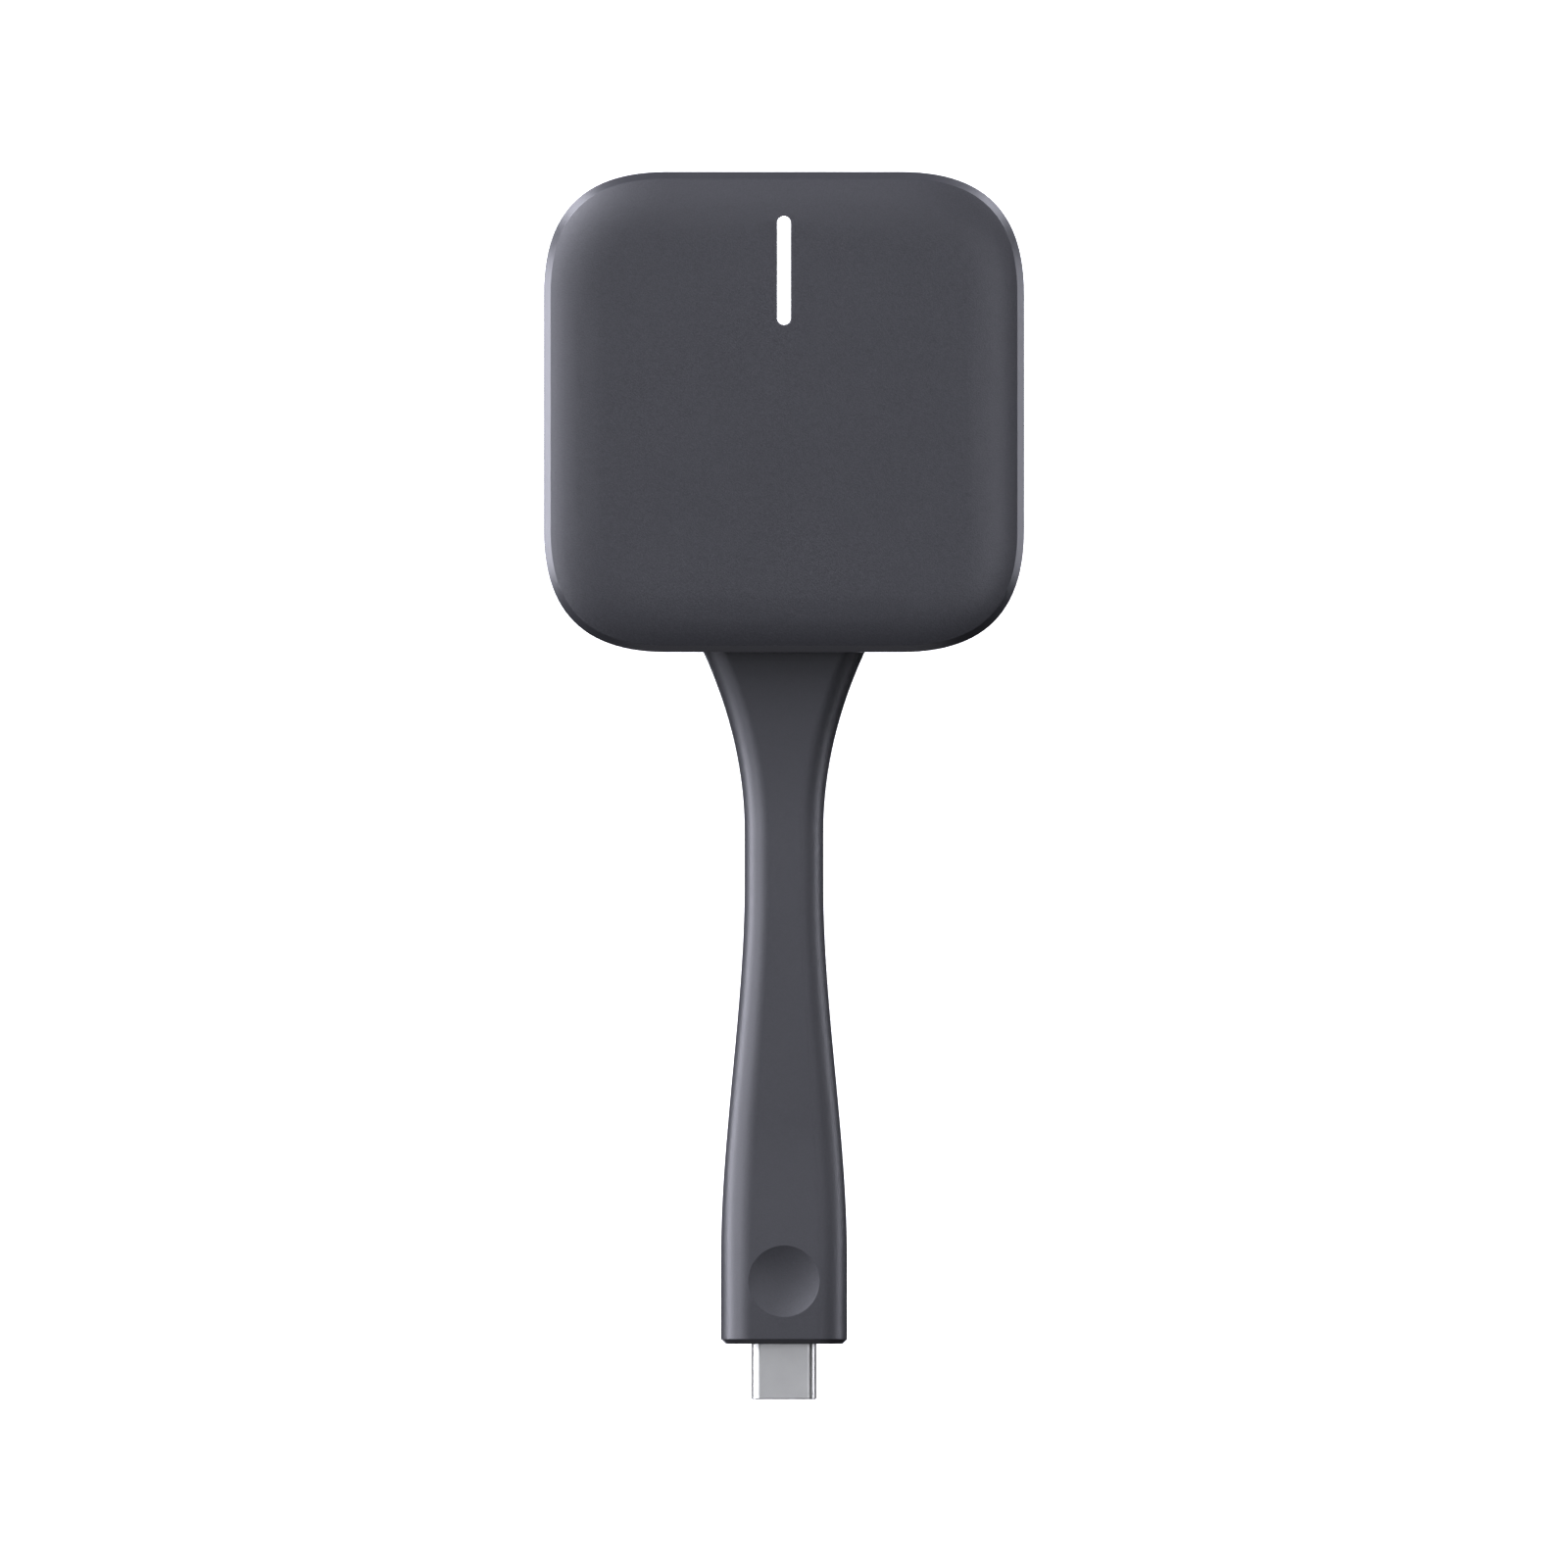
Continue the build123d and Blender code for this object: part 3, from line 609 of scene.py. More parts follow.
def head_loop(inset, straight_steps=10, corner_steps=26):
    """The head's soft-cornered outline at an inset from its wall, as flat places running counter-clockwise."""
    half = HALF - inset
    straight = HALF - CORNER_REACH
    pull = CORNER_PULL - CORNER_PULL_LOSS * inset
    corner = ((straight, -half), (half - pull, -half), (half, -half + pull), (half, -straight))
    spots = []
    for step in range(corner_steps):
        t = step / corner_steps
        s = 1 - t
        weights = (s**3, 3 * s * s * t, 3 * s * t * t, t**3)
        spots.append([sum(w * p[axis] for w, p in zip(weights, corner)) for axis in (0, 1)])
    for step in range(straight_steps):
        spots.append([half, -straight + 2 * straight * step / straight_steps])
    loop = []
    for turn in range(4):
        cosine, sine = round(math.cos(turn * math.pi / 2)), round(math.sin(turn * math.pi / 2))
        loop += [(x * cosine - y * sine, x * sine + y * cosine) for x, y in spots]
    return loop


def head_ring(inset, z, **steps):
    """The outline as places at a height."""
    return [(x, y, z) for x, y in head_loop(inset, **steps)]


def crown_z(inset):
    """Height of the key cover's top at a distance from the wall."""
    head = bpy.context.scene.key_head
    rest = max(0.0, (head.crown_reach - inset) / (head.crown_reach - head.bevel))
    return TOP_Z - head.rim_drop * rest**3


def over_crown(loop, drop=0.0):
    """Flat places near the head's middle line, set on the crown's surface or below it."""
    return [(x, y, crown_z(HALF - y) - drop) for x, y in loop]


# ---------------------------------------------------------------- the tail's shape

FLARE_LENGTH = 23.0 * MM
ROOT_FLARE = 5.26 * MM
ROOT_RISE = 1.4 * MM
GRIP_SWELL = 3.02 * MM
SWELL_START, SWELL_LENGTH = 29.4 * MM, 48.0 * MM
HALF_THICK = 2.8 * MM
GRIP_THICK = 0.6 * MM
THICKEN_START, THICKEN_LENGTH = 60.0 * MM, 24.0 * MM
SIDE_ROUND, GRIP_ROUND = 3.1 * MM, 0.8 * MM
TOP_EDGE = 40.0  # degrees round the side at which the grip's top plate ends


def smooth(value):
    """0 before 0, 1 after 1, with a soft start and end."""
    value = min(1.0, max(0.0, value))
    return value * value * (3 - 2 * value)


def section(y):
    """Half the flat's width, the side's roundness, and the height above and below the middle line."""
    run = max(0.0, WALL_Y - y)
    flare = max(0.0, 1 - run / FLARE_LENGTH) ** 2
    swell = smooth((run - SWELL_START) / SWELL_LENGTH)
    width = bpy.context.scene.key_tail.waist + ROOT_FLARE * flare + GRIP_SWELL * swell
    side = SIDE_ROUND + GRIP_ROUND * swell
    low = HALF_THICK + GRIP_THICK * smooth((run - THICKEN_START) / THICKEN_LENGTH)
    return width - side, side, low + ROOT_RISE * flare, low


def section_spots(flats=6, rounds=18):
    """Samples round the tail, from the top's middle: shares of the flat, of the side and of the height."""
    spots = [(step / flats, 0.0, 1.0) for step in range(flats)]
    turns = [math.pi * step / rounds for step in range(rounds)]
    spots += [(1.0, math.sin(turn), math.cos(turn)) for turn in turns]
    spots += [(1 - step / flats, 0.0, -1.0) for step in range(2 * flats)]
    spots += [(-1.0, -math.sin(turn), -math.cos(turn)) for turn in turns]
    spots += [(step / flats - 1, 0.0, 1.0) for step in range(flats)]
    return spots


def tail_place(spot, y, inset=0.0):
    """A place on the tail's surface, or inset from it."""
    flat, side, high, low = section(y)
    share, out, up = spot
    return (share * flat + out * (side - inset), y, TAIL_Z + up * ((high if up > 0 else low) - inset))


def tail_normal(spot, y):
    """The surface's outward direction at that place."""
    flat, side, high, low = section(y)
    across, up = spot[1] / side, spot[2] / (high if spot[2] > 0 else low)
    step = 0.05 * MM
    before, after = tail_place(spot, y - step), tail_place(spot, y + step)
    slope_x, slope_z = (after[0] - before[0]) / (2 * step), (after[2] - before[2]) / (2 * step)
    return Vector((across, -(across * slope_x + up * slope_z), up)).normalized()


def top_spot(x, y):
    """The sample that lies at x on the tail's upper half."""
    flat, side, _, _ = section(y)
    if abs(x) <= flat:
        return (x / flat, 0.0, 1.0)
    out = min(1.0, (abs(x) - flat) / side)
    return (math.copysign(1.0, x), math.copysign(out, x), math.sqrt(1 - out * out))


def steps_between(start, end, count):
    """Evenly spaced values from start to end, both included."""
    return [start + (end - start) * step / count for step in range(count + 1)]


def tail_skin(skin, stations, spots, closed=True):
    """Joins the tail's cross-sections, with exact normals, towards -Y."""
    rows = [[tail_place(spot, y) for spot in spots] for y in stations]
    normals = [[tail_normal(spot, y) for spot in spots] for y in stations]
    for place in range(len(rows) - 1):
        skin.strip(
            rows[place], rows[place + 1], (normals[place], normals[place + 1]), closed=closed, flip=True
        )
    return rows


def side_on(place):
    """A place seen along the tail."""
    return (place[0], place[2])


def tail_stretch(name, start, end, count, material):
    """A closed stretch of the tail between two places along it."""
    skin = Skin()
    rows = tail_skin(skin, steps_between(start, end, count), section_spots())
    skin.plate(rows[0], up=False, flat=side_on)
    skin.plate(rows[-1], up=True, flat=side_on)
    return skin.piece(name, material)


# ---------------------------------------------------------------- operators


class PieceOperator:
    """What the operators share."""

    bl_options = {"REGISTER", "UNDO"}

    def execute(self, context):
        self.build(context.scene)
        return {"FINISHED"}


class KEY_OT_cover(PieceOperator, bpy.types.Operator):
    """Key cover: crowned top, polished bevel, skirt and the light bar's slot"""

    bl_idname = "streaming_key.cover"
    bl_label = "Key cover"

    def build(self, scene):
        head, bar = scene.key_head, scene.key_light
        rim_z = TOP_Z - head.rim_drop
        bevel_z = rim_z - 0.9 * MM
        ceiling_z = TOP_Z - 2.0 * MM
        ledge_z = 10.2 * MM
        wall, skirt = 1.8 * MM, 0.8 * MM
        skin = Skin()
        profile = rounded(
            [
                (wall, ceiling_z, 0),
                (wall, ledge_z, 0.15 * MM),
                (skirt, ledge_z, 0.1 * MM),
                (skirt, SKIRT_Z, 0.12 * MM),
                (0.0, SKIRT_Z, 0.18 * MM),
                (0.0, bevel_z, 0.08 * MM),
                (head.bevel, rim_z, 0.05 * MM),
                (head.bevel + 0.35 * MM, crown_z(head.bevel + 0.35 * MM), 0),
            ]
        )
        crown = [1.6, 2.1, 2.7, 3.5, 4.4]
        profile += [Vector((inset * MM, crown_z(inset * MM))) for inset in crown]
        rings = [head_ring(spot.x, spot.y) for spot in profile]
        for first, second, spot, after in zip(rings, rings[1:], profile, profile[1:]):
            on_bevel = spot.y > bevel_z - 0.02 * MM and after.y < rim_z + 0.005 * MM
            skin.strip(first, second, slot=1 if on_bevel and spot.x < head.bevel else 0)

        spare = 0.04 * MM
        edge = 0.07 * MM
        slot_rings = []
        for turn in steps_between(0, math.pi / 2, 3):
            grow = spare + edge * (1 - math.sin(turn))
            loop = stadium((0, BAR_Y), bar.length + 2 * grow, bar.width + 2 * grow)
            slot_rings.append(over_crown(loop, edge * (1 - math.cos(turn))))
        slot_rings.append([(x, y, ceiling_z) for x, y, _ in slot_rings[-1]])
        for first, second in zip(slot_rings, slot_rings[1:]):
            skin.strip(first, second)

        clear = 1.0 * MM
        near_slot = [Vector(place) for place in stadium((0, BAR_Y), bar.length + clear, bar.width + clear)]
        inner = []
        for inset in (5.4, 6.4, 7.4, 8.6, 9.8):
            inner += head_ring(inset * MM, crown_z(inset * MM), straight_steps=8, corner_steps=12)
        flat_half = HALF - 11.4 * MM
        grid = steps_between(-flat_half, flat_half, 18)
        inner += [(x, y, TOP_Z) for x in grid for y in grid]
        inner = [place for place in inner if not inside(Vector(place[:2]), near_slot)]
        skin.plate(rings[-1], holes=[slot_rings[0]], inner=inner)
        skin.plate(rings[0], holes=[slot_rings[-1]], up=False)

        plastic = moulded_plastic("cover satin", head.colour, head.grain, 0.36, 0.013 * MM)
        bevel = polished_bevel("cover bevel", head.colour, 0.33)
        cover = skin.piece("cover", plastic, bevel)
        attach(cover, "key")
        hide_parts("key_cover")


class KEY_OT_light(PieceOperator, bpy.types.Operator):
    """Light bar: the milky bar that glows in the cover's slot"""

    bl_idname = "streaming_key.light"
    bl_label = "Light bar"

    def build(self, scene):
        bar = scene.key_light
        edge = 0.10 * MM
        skin = Skin()
        rings = [[(x, y, TOP_Z - 2.3 * MM) for x, y in stadium((0, BAR_Y), bar.length, bar.width)]]
        for turn in steps_between(0, math.pi / 2, 4):
            inset = edge * (1 - math.cos(turn))
            loop = stadium((0, BAR_Y), bar.length - 2 * inset, bar.width - 2 * inset)
            rings.append(over_crown(loop, 0.02 * MM + edge * (1 - math.sin(turn))))
        for first, second in zip(rings, rings[1:]):
            skin.strip(first, second)
        rows = steps_between(-bar.length / 2 + bar.width / 2, bar.length / 2 - bar.width / 2, 24)
        ridge = over_crown([(x * bar.width, BAR_Y + y) for y in rows for x in (-0.2, 0.0, 0.2)], 0.02 * MM)
        skin.plate(rings[-1], inner=ridge)
        skin.plate(rings[0], up=False)
        light = skin.piece("glowing_bar", lit_diffuser("lit diffuser", bar.glow))
        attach(light, "key")
        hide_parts("light_bar")


class KEY_OT_case(PieceOperator, bpy.types.Operator):
    """Lower case: rounded base, shoulder and lip, with the opening that the tail comes out of"""

    bl_idname = "streaming_key.case"
    bl_label = "Lower case"

    def build(self, scene):
        head = scene.key_head
        pad_top, floor_z, shoulder_z = PAD_HIGH.z, 1.9 * MM, 8.2 * MM
        recess, lip, wall = 6.0 * MM, 1.0 * MM, 1.8 * MM
        skin = Skin()
        profile = rounded(
            [
                (recess, pad_top, 0),
                (recess, BASE_Z, 0.1 * MM),
                (0.0, BASE_Z, 3.2 * MM),
                (0.0, shoulder_z, 0.18 * MM),
                (lip, shoulder_z, 0.06 * MM),
                (lip, CASE_HIGH.z, 0.15 * MM),
                (wall, CASE_HIGH.z, 0.12 * MM),
                (wall, floor_z, 0),
            ],
            steps=7,
        )
        rings = [head_ring(spot.x, spot.y) for spot in profile]
        for first, second in zip(rings, rings[1:]):
            skin.strip(first, second)
        skin.plate(rings[0], up=False)
        skin.plate(rings[-1], up=True)
        plastic = moulded_plastic("case satin", head.colour, head.grain, 0.46, 0.008 * MM)
        case = skin.piece("base_case", plastic)
        cut_opening(case, gap=0.12 * MM)
        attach(case, "head")
        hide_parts("lower_case")


def cut_opening(case, gap):
    """Cuts the tail's opening, a little wider than the tail, through the case's wall."""
    skin = Skin()
    outline = [tail_place(spot, WALL_Y, inset=-gap) for spot in section_spots()]
    inner_end, outer_end = WALL_Y + 2.6 * MM, WALL_Y - 1.0 * MM
    rows = [[(x, y, z) for x, _, z in outline] for y in (inner_end, outer_end)]
    skin.strip(rows[0], rows[1], flip=True)
    skin.plate(rows[0], up=False, flat=side_on)
    skin.plate(rows[1], up=True, flat=side_on)
    cutter = skin.piece("cutter")
    cut = case.modifiers.new("opening", "BOOLEAN")
    cut.operation = "DIFFERENCE"
    cut.solver = "EXACT"
    cut.object = cutter
    graph = bpy.context.evaluated_depsgraph_get()
    shaped = bpy.data.meshes.new_from_object(case.evaluated_get(graph))
    case.modifiers.clear()
    case.data = shaped
    bpy.data.objects.remove(cutter)


class KEY_OT_pad(PieceOperator, bpy.types.Operator):
    """Foot pad: soft rubber with a moulded groove round its edge"""

    bl_idname = "streaming_key.pad"
    bl_label = "Foot pad"

    def build(self, scene):
        edge = HALF - PAD_HALF
        skin = Skin()
        profile = rounded(
            [
                (edge + 3.0 * MM, PAD_HIGH.z, 0),
                (edge, PAD_HIGH.z, 0.05 * MM),
                (edge, 0.0, 0.3 * MM),
                (edge + 1.5 * MM, 0.0, 0.1 * MM),
                (edge + 1.8 * MM, 0.25 * MM, 0.1 * MM),
                (edge + 2.4 * MM, 0.25 * MM, 0.1 * MM),
                (edge + 2.7 * MM, 0.0, 0.1 * MM),
                (edge + 4.0 * MM, 0.0, 0),
            ]
        )
        rings = [head_ring(spot.x, spot.y) for spot in profile]
        for first, second in zip(rings, rings[1:]):
            skin.strip(first, second, flip=True)
        skin.plate(rings[0], up=True)
        skin.plate(rings[-1], up=False)
        pad = skin.piece("rubber_foot", soft_rubber("foot rubber", (0.018, 0.018, 0.02)))
        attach(pad, "head")
        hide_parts("foot_pad")


class KEY_OT_tail(PieceOperator, bpy.types.Operator):
    """Tail: the root on the head and the stretches that span the hinges"""

    bl_idname = "streaming_key.tail"
    bl_label = "Tail"

    def build(self, scene):
        tail = scene.key_tail
        material = tail_elastomer(tail.colour)
        links = ["tail_link_1", "tail_link_2", "tail_link_3"]
        places = [joint["pos_m"][1] for joint in HINGES]
        half_pitch = (places[0] - places[1]) / 2
        root = tail_stretch("root", WALL_Y + 1.6 * MM, places[0] + half_pitch, 40, material)
        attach(root, "head")
        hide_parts("tail_root", "cable_core")
        for number, joint in enumerate(HINGES):
            start, end = places[number] + half_pitch, places[number] - half_pitch
            bend = tail_stretch(f"bend_{number + 1}", start, end, tail.rings, material)
            if number < len(links):
                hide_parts(links[number])
            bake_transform(bend)


def tail_elastomer(colour):
    """The tail's finish, made once and shared by its pieces."""
    name = "tail elastomer"
    made = bpy.data.materials.get(name)
    return made or moulded_plastic(name, colour, 0.2 * MM, 0.45, 0.009 * MM, speckle=0.08)


class KEY_OT_grip(PieceOperator, bpy.types.Operator):
    """Plug grip: the tail's stiff end, with a round finger dish and a chamfered end"""

    bl_idname = "streaming_key.grip"
    bl_label = "Plug grip"

    def build(self, scene):
        tail = scene.key_tail
        start = HINGES[-1]["pos_m"][1] - (HINGES[0]["pos_m"][1] - HINGES[1]["pos_m"][1]) / 2
        chamfer = 0.6 * MM
        full_end = TAIL_END + chamfer + 0.12 * MM
        stations = steps_between(start, full_end, 44)
        spots = section_spots()
        limit = math.cos(math.radians(TOP_EDGE)) - 1e-9
        top = [spot for spot in spots if spot[2] >= limit]
        top.sort(key=lambda spot: (spot[0], spot[1]))
        first = spots.index(top[-1])
        last = spots.index(top[0])
        skin = Skin()
        tail_skin(skin, stations, spots[first : last + 1], closed=False)

        # Top plate with the dish's rim as a hole
        middle_y = TAIL_END + 8.0 * MM
        rim_steps, dish_steps = 96, 12
        rim = []
        for step in range(rim_steps):
            turn = 2 * math.pi * step / rim_steps
            x, y = tail.dish * math.cos(turn), middle_y + tail.dish * math.sin(turn)
            rim.append(tail_place(top_spot(x, y), y))
        near_rim = [Vector((place[0] * 1.05, middle_y + (place[1] - middle_y) * 1.05)) for place in rim]
        rows = [[tail_place(spot, y) for spot in top] for y in stations]
        middle_rows = rows[1:-1]
        right_side = [row[-1] for row in reversed(middle_rows)]
        left_side = [row[0] for row in middle_rows]
        outer = [*rows[-1], *right_side, *reversed(rows[0]), *left_side]
        inner = [place for row in middle_rows for place in row[1:-1]]
        inner = [place for place in inner if not inside(Vector(place[:2]), near_rim)]
        skin.plate(
            outer,
            holes=[rim],
            inner=inner,
            normal=lambda place: tail_normal(top_spot(place[0], place[1]), place[1]),
        )

        # The dish: part of a sphere
        depth = 0.5 * MM
        sphere = (tail.dish**2 + depth**2) / (2 * depth)
        centre = Vector((0, middle_y, TAIL_Z + section(middle_y)[2] - depth + sphere))
        ring, before = rim, [(centre - Vector(place)).normalized() for place in rim]
        for step in range(1, dish_steps):
            share = 1 - step / dish_steps
            inner_ring = []
            for place in rim:
                x, y = place[0] * share, (place[1] - middle_y) * share
                inner_ring.append((x, middle_y + y, centre.z - math.sqrt(sphere**2 - x * x - y * y)))
            facing = [(centre - Vector(place)).normalized() for place in inner_ring]
            skin.strip(ring, inner_ring, (before, facing))
            ring, before = inner_ring, facing
        skin.plate(ring, up=True, normal=lambda place: (centre - Vector(place)).normalized())

        # Chamfer and end face, with the opening for the plug's shell
        path = rounded(
            [
                (0.0, full_end + 0.4 * MM, 0),
                (0.0, TAIL_END + chamfer, 0.16 * MM),
                (chamfer, TAIL_END, 0.1 * MM),
                (1.1 * MM, TAIL_END, 0),
            ]
        )
        path = [Vector((0.0, full_end))] + [spot for spot in path if spot.y < full_end - 0.01 * MM]
        rings = [end_ring(spots, inset, y) for inset, y in path]
        for first_ring, second_ring in zip(rings, rings[1:]):
            skin.strip(first_ring, second_ring, flip=True)
        gap = 0.06 * MM
        mouth = shell_ring(TAIL_END, -gap)
        skin.plate(rings[-1], holes=[mouth], up=True, flat=side_on)
        deep = shell_ring(TAIL_END + 1.3 * MM, -gap)
        skin.strip(mouth, deep, flip=True)
        skin.plate(deep, up=True, flat=side_on)
        skin.plate([tail_place(spot, start) for spot in spots], up=False, flat=side_on)
        grip = skin.piece("grip", tail_elastomer(tail.colour))
        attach(grip, "plug")
        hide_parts("plug_grip")


def end_ring(spots, inset, y):
    """The grip's cross-section at its end, inset from the surface."""
    places = [tail_place(spot, TAIL_END + 0.7 * MM, inset) for spot in spots]
    return [(x, y, z) for x, _, z in places] if inset > 0 else [tail_place(spot, y) for spot in spots]


def shell_ring(y, inset=0.0, steps=20):
    """The plug shell's outline across the plug, inset from its outer face."""
    width = SHELL_HIGH.x - SHELL_LOW.x - 2 * inset
    thick = SHELL_HIGH.z - SHELL_LOW.z - 2 * inset
    loop = stadium((0, 0), width, thick, steps)
    return [(across, y, TAIL_Z + up) for up, across in loop]


class KEY_OT_shell(PieceOperator, bpy.types.Operator):
    """Plug shell: the satin metal tube with a rolled lip"""

    bl_idname = "streaming_key.shell"
    bl_label = "Plug shell"

    def build(self, scene):
        plug = scene.key_plug
        rear = TAIL_END + 1.2 * MM
        inner_end = PLUG_TIP + 7.6 * MM
        path = rounded(
            [
                (0.0, rear, 0),
                (0.0, PLUG_TIP, 0.16 * MM),
                (plug.wall, PLUG_TIP, 0.1 * MM),
                (plug.wall, inner_end, 0),
            ]
        )
        skin = Skin()
        rings = [shell_ring(y, inset) for inset, y in path]
        for first, second in zip(rings, rings[1:]):
            skin.strip(first, second, flip=True)
        skin.plate(rings[0], up=False, flat=side_on)
        skin.plate(rings[-1], up=True, flat=side_on)
        metal = satin_metal("satin plating", plug.colour, 0.32, drawn=(1.0, 0.15, 1.0))
        shell = skin.piece("shell", metal)
        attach(shell, "plug")
        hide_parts("plug_shell")


INNER_FINISHES = {
    "silicone": lambda: soft_rubber("silicone", (0.40, 0.41, 0.43), 0.55),
    "foam": lambda: soft_rubber("foam", (0.03, 0.03, 0.03), 0.9, grain=0.4 * MM),
    "screw_steel": lambda: satin_metal("blackened screws", (0.12, 0.12, 0.13), 0.35),
    "spring_steel": lambda: satin_metal("spring wire", (0.55, 0.55, 0.57), 0.25),
    "tinned_steel": lambda: satin_metal("tinned sheet", (0.66, 0.66, 0.65), 0.28, drawn=(1.0, 0.1, 1.0)),
    "plug_steel": lambda: satin_metal("plated sheet", (0.60, 0.61, 0.64), 0.3),
    "brass": lambda: satin_metal("turned brass", (0.70, 0.50, 0.20), 0.25),
    "gold_contacts": lambda: satin_metal("gold plating", (0.83, 0.60, 0.22), 0.2),
    "board_laminate": lambda: board_laminate("green laminate", (0.008, 0.045, 0.022)),
    "module_laminate": lambda: board_laminate("blue laminate", (0.008, 0.02, 0.07)),
    "chip_epoxy": lambda: plain_moulding("chip epoxy", (0.02, 0.02, 0.022), 0.4, grain=0.15 * MM),
    "capacitor_ceramic": lambda: fired_ceramic("capacitor ceramic", (0.30, 0.20, 0.11), (0.7, 0.7, 0.7)),
    "ferrite": lambda: fired_ceramic("ferrite", (0.07, 0.07, 0.075), (0.10, 0.10, 0.11)),
    "black_plastic": lambda: plain_moulding("black moulding", (0.02, 0.02, 0.022)),
    "white_plastic": lambda: plain_moulding("white moulding", (0.78, 0.78, 0.80), 0.4),
    "connector_plastic": lambda: plain_moulding("natural nylon", (0.62, 0.57, 0.42), 0.4),
    "inner_mould": lambda: plain_moulding("inner mould", (0.10, 0.10, 0.11), 0.5),
    "lead_jacket": lambda: soft_rubber("lead jacket", (0.025, 0.025, 0.028), 0.5),
    "wire_jacket": lambda: soft_rubber("wire jacket", (0.28, 0.02, 0.02), 0.45),
}


class KEY_OT_inner(PieceOperator, bpy.types.Operator):
    """Inner pieces: finishes for every carried-over node, by its material slot"""

    bl_idname = "streaming_key.inner"
    bl_label = "Inner pieces"

    def build(self, scene):
        slots = {part["node"]: part["material_slot"] for part in frame["record"]["subparts"]}
        made = {name: make() for name, make in INNER_FINISHES.items()}
        for name, node in frame["nodes"].items():
            material = made.get(slots[name])
            if material is None:
                continue
            for slot in node.material_slots:
                slot.material = material


class KEY_OT_stage(PieceOperator, bpy.types.Operator):
    """Stage: pale floor, softboxes and a camera looking straight down"""

    bl_idname = "streaming_key.stage"
    bl_label = "Stage"

    def build(self, scene):
        floor_mesh = bpy.data.meshes.new("floor")
        reach = 3.0
        corners = [(x * reach, y * reach, -FLOOR_DROP) for x, y in ((-1, -1), (1, -1), (1, 1), (-1, 1))]
        floor_mesh.from_pydata(corners, [], [(0, 1, 2, 3)])
        floor = bpy.data.objects.new("floor", floor_mesh)
        scene.collection.objects.link(floor)
        floor_mesh.materials.append(pale_floor("pale floor"))
        floor.visible_glossy = False
        floor.visible_diffuse = False
        floor.visible_shadow = False
        backdrop = pale_backdrop("backdrop")
        scene.collection.objects.link(backdrop)

        world = scene.world or bpy.data.worlds.new("studio")
        scene.world = world
        world.use_nodes = True
        world.node_tree.nodes["Background"].inputs["Color"].default_value = (1.0, 1.0, 1.0, 1.0)
        world.node_tree.nodes["Background"].inputs["Strength"].default_value = WORLD_STRENGTH

        for name, turn, height, radiance, size in SOFTBOXES:
            softbox(name, math.radians(turn), math.radians(height), radiance, size)

        # The shell's flat faces straight up, where no softbox is, so it has a light of its own
        plug_light = softbox("plug glow", math.radians(270), math.radians(82), PLUG_GLOW, WIDE)
        receivers = bpy.data.collections.new("lit by the plug glow")
        receivers.objects.link(bpy.data.objects["shell"])
        plug_light.light_linking.receiver_collection = receivers

        camera_data = bpy.data.cameras.new("overhead")
        camera_data.type = "ORTHO"
        camera_data.ortho_scale = VIEW_WIDTH
        camera = bpy.data.objects.new("overhead", camera_data)
        camera.location = (0, (cad_box[0].y + cad_box[1].y) / 2 + 0.2 * MM, 1.0)
        scene.collection.objects.link(camera)
        scene.camera = camera
        scene.view_settings.view_transform = "Standard"


def pale_backdrop(name):
    """A pale room far round the object, which only the camera sees."""
    far = 6.0
    signs = [(x, y, z) for x in (-1, 1) for y in (-1, 1) for z in (-1, 1)]
    mesh = bpy.data.meshes.new(name)
    walls = [(0, 1, 3, 2), (4, 6, 7, 5), (0, 4, 5, 1), (2, 3, 7, 6), (0, 2, 6, 4), (1, 5, 7, 3)]
    mesh.from_pydata([(x * far, y * far, z * far) for x, y, z in signs], [], walls)
    finish = Finish("pale room")
    cloud = finish.noise(2.0, detail=1.0)
    mesh.materials.append(
        finish.set(
            Base_Color=(0.0, 0.0, 0.0),
            Specular_IOR_Level=0.0,
            Emission_Color=finish.mix(cloud, (0.97, 0.97, 0.97), (1.0, 1.0, 1.0)),
            Emission_Strength=1.0,
        )
    )
    room = bpy.data.objects.new(name, mesh)
    room.visible_glossy = False
    room.visible_diffuse = False
    room.visible_shadow = False
    room.visible_transmission = False
    return room


def pale_floor(name):
    """A pale paper sweep that is clear from below, so that it never hides the underside."""
    finish = Finish(name)
    tree = finish.tree
    cloud = finish.noise(0.4, detail=1.0)
    finish.set(
        Base_Color=finish.mix(cloud, (0.50, 0.50, 0.50), (0.52, 0.52, 0.52)),
        Roughness=0.9,
        Specular_IOR_Level=0.0,
        Emission_Color=(1.0, 1.0, 1.0),
        Emission_Strength=0.90,
    )
    side = add_node(tree, "ShaderNodeNewGeometry")
    clear = add_node(tree, "ShaderNodeBsdfTransparent")
    either = add_node(tree, "ShaderNodeMixShader")
    feed(tree, either.inputs[0], side.outputs["Backfacing"])
    feed(tree, either.inputs[1], finish.shader.outputs["BSDF"])
    feed(tree, either.inputs[2], clear.outputs["BSDF"])
    feed(tree, tree.nodes["Material Output"].inputs["Surface"], either.outputs["Shader"])
    return finish.material


# The floor lies lower than the tail reaches when it is bent right down
FLOOR_DROP = 95 * MM

# Width of the camera's view in metres, brightness of the room, and radiance of the shell's own light
VIEW_WIDTH = 0.1997
WORLD_STRENGTH = 0.02
PLUG_GLOW = 1.43

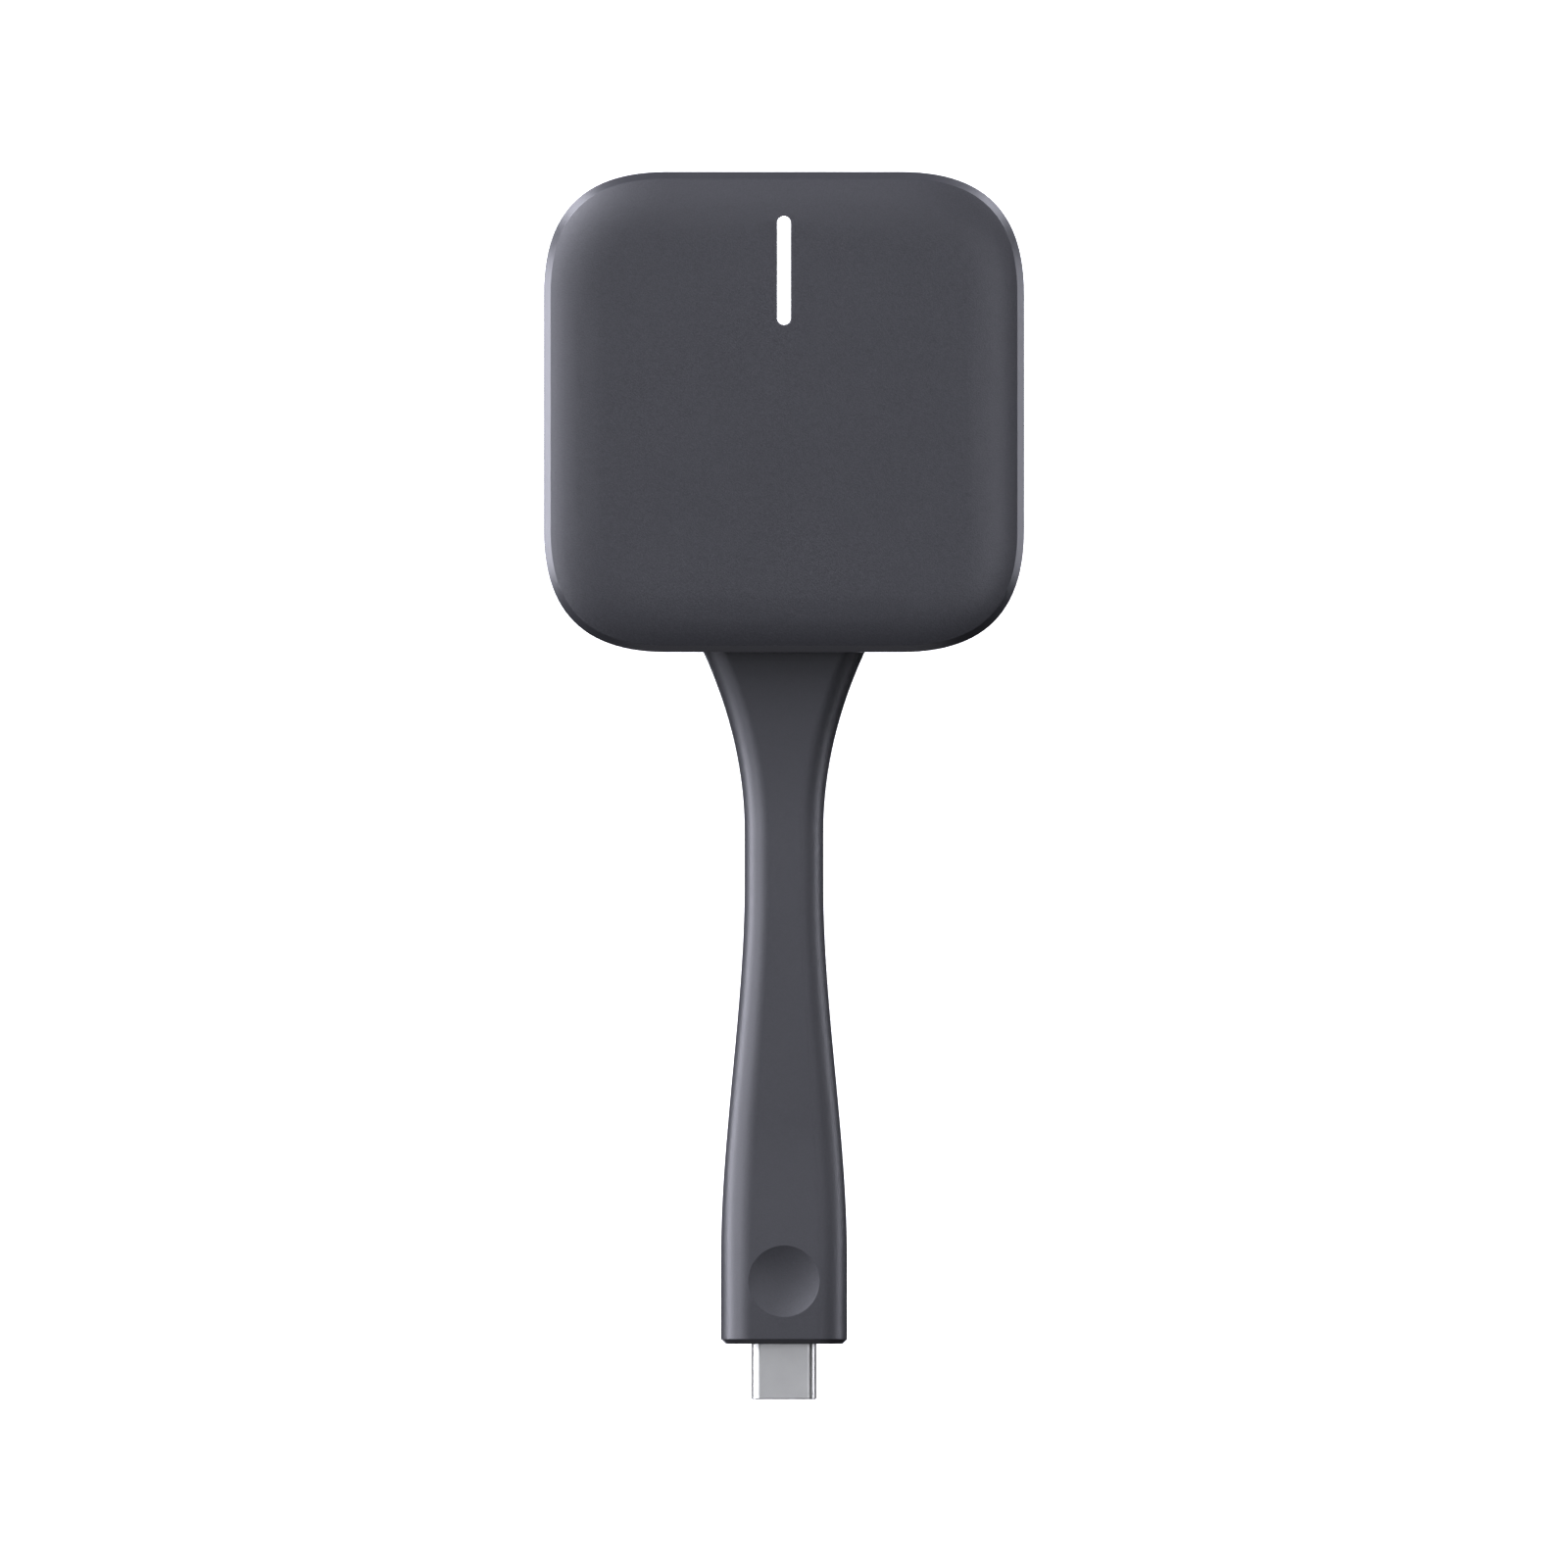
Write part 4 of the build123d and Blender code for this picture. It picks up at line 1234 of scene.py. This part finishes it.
# Softboxes a metre away: name, turn from +X and height in degrees, radiance, size in metres
WIDE, SQUARE, SMALL = (0.50, 0.21), (0.40, 0.30), (0.26, 0.22)
SOFTBOXES = (
    ("key", 135, 20, 25.8, SQUARE),
    ("low key", 135, 8, 18.0, SQUARE),
    ("high key", 135, 35, 19.3, SQUARE),
    ("upper key", 135, 50, 3.9, SQUARE),
    ("top key", 135, 65, 2.8, SQUARE),
    ("left edge", 180, 2, 19.0, WIDE),
    ("left low wash", 180, 10, 5.5, WIDE),
    ("left wash", 180, 25, 5.5, WIDE),
    ("left glow", 180, 50, 8.3, WIDE),
    ("fill", 45, 20, 19.8, SQUARE),
    ("low fill", 45, 8, 10.2, SQUARE),
    ("high fill", 45, 40, 1.1, SQUARE),
    ("right edge", 0, 2, 8.8, WIDE),
    ("right glow", 0, 72, 4.8, SMALL),
    ("near edge", 270, 2, 1.1, WIDE),
    ("under glow", 250, -72, 10.1, SQUARE),
    ("under edge", 60, -30, 13.4, SQUARE),
)
LIGHT_TINT = (0.95, 0.955, 1.09)


def softbox(name, turn, height, radiance, size):
    """A rectangular light that faces the head and doesn't show itself."""
    data = bpy.data.lights.new(name, "AREA")
    data.shape = "RECTANGLE"
    data.size, data.size_y = size
    data.energy = 4 * radiance * data.size * data.size_y
    data.color = LIGHT_TINT
    light = bpy.data.objects.new(name, data)
    away = Vector((math.cos(turn) * math.cos(height), math.sin(turn) * math.cos(height), math.sin(height)))
    light.location = Vector((0, -30 * MM, 10 * MM)) + away
    light.rotation_euler = (-away).to_track_quat("-Z", "Y").to_euler()
    light.visible_camera = False
    bpy.context.scene.collection.objects.link(light)
    return light


# ---------------------------------------------------------------- panel and registration

OPERATORS = (
    KEY_OT_cover,
    KEY_OT_light,
    KEY_OT_case,
    KEY_OT_pad,
    KEY_OT_tail,
    KEY_OT_grip,
    KEY_OT_shell,
    KEY_OT_inner,
    KEY_OT_stage,
)
SETTINGS = {
    "key_head": KeyHeadSettings,
    "key_tail": TailSettings,
    "key_light": LightBarSettings,
    "key_plug": PlugSettings,
}


class KEY_PT_panel(bpy.types.Panel):
    """Lists the pieces in the order in which they are made"""

    bl_idname = "KEY_PT_panel"
    bl_label = "Streaming key"
    bl_space_type = "VIEW_3D"
    bl_region_type = "UI"
    bl_category = "Streaming key"

    def draw(self, context):
        layout = self.layout
        for name, group in SETTINGS.items():
            box = layout.box()
            settings = getattr(context.scene, name)
            for prop in group.__annotations__:
                box.prop(settings, prop)
        for operator in OPERATORS:
            layout.operator(operator.bl_idname)


def register():
    for group in (*SETTINGS.values(), *OPERATORS, KEY_PT_panel):
        bpy.utils.register_class(group)
    for name, group in SETTINGS.items():
        setattr(bpy.types.Scene, name, PointerProperty(type=group))


def unregister():
    for name in SETTINGS:
        delattr(bpy.types.Scene, name)
    for group in (KEY_PT_panel, *reversed(OPERATORS), *SETTINGS.values()):
        bpy.utils.unregister_class(group)


def main():
    """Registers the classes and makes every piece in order."""
    register()
    for operator in OPERATORS:
        group, name = operator.bl_idname.split(".")
        getattr(getattr(bpy.ops, group), name)()


if __name__ == "__main__":
    main()
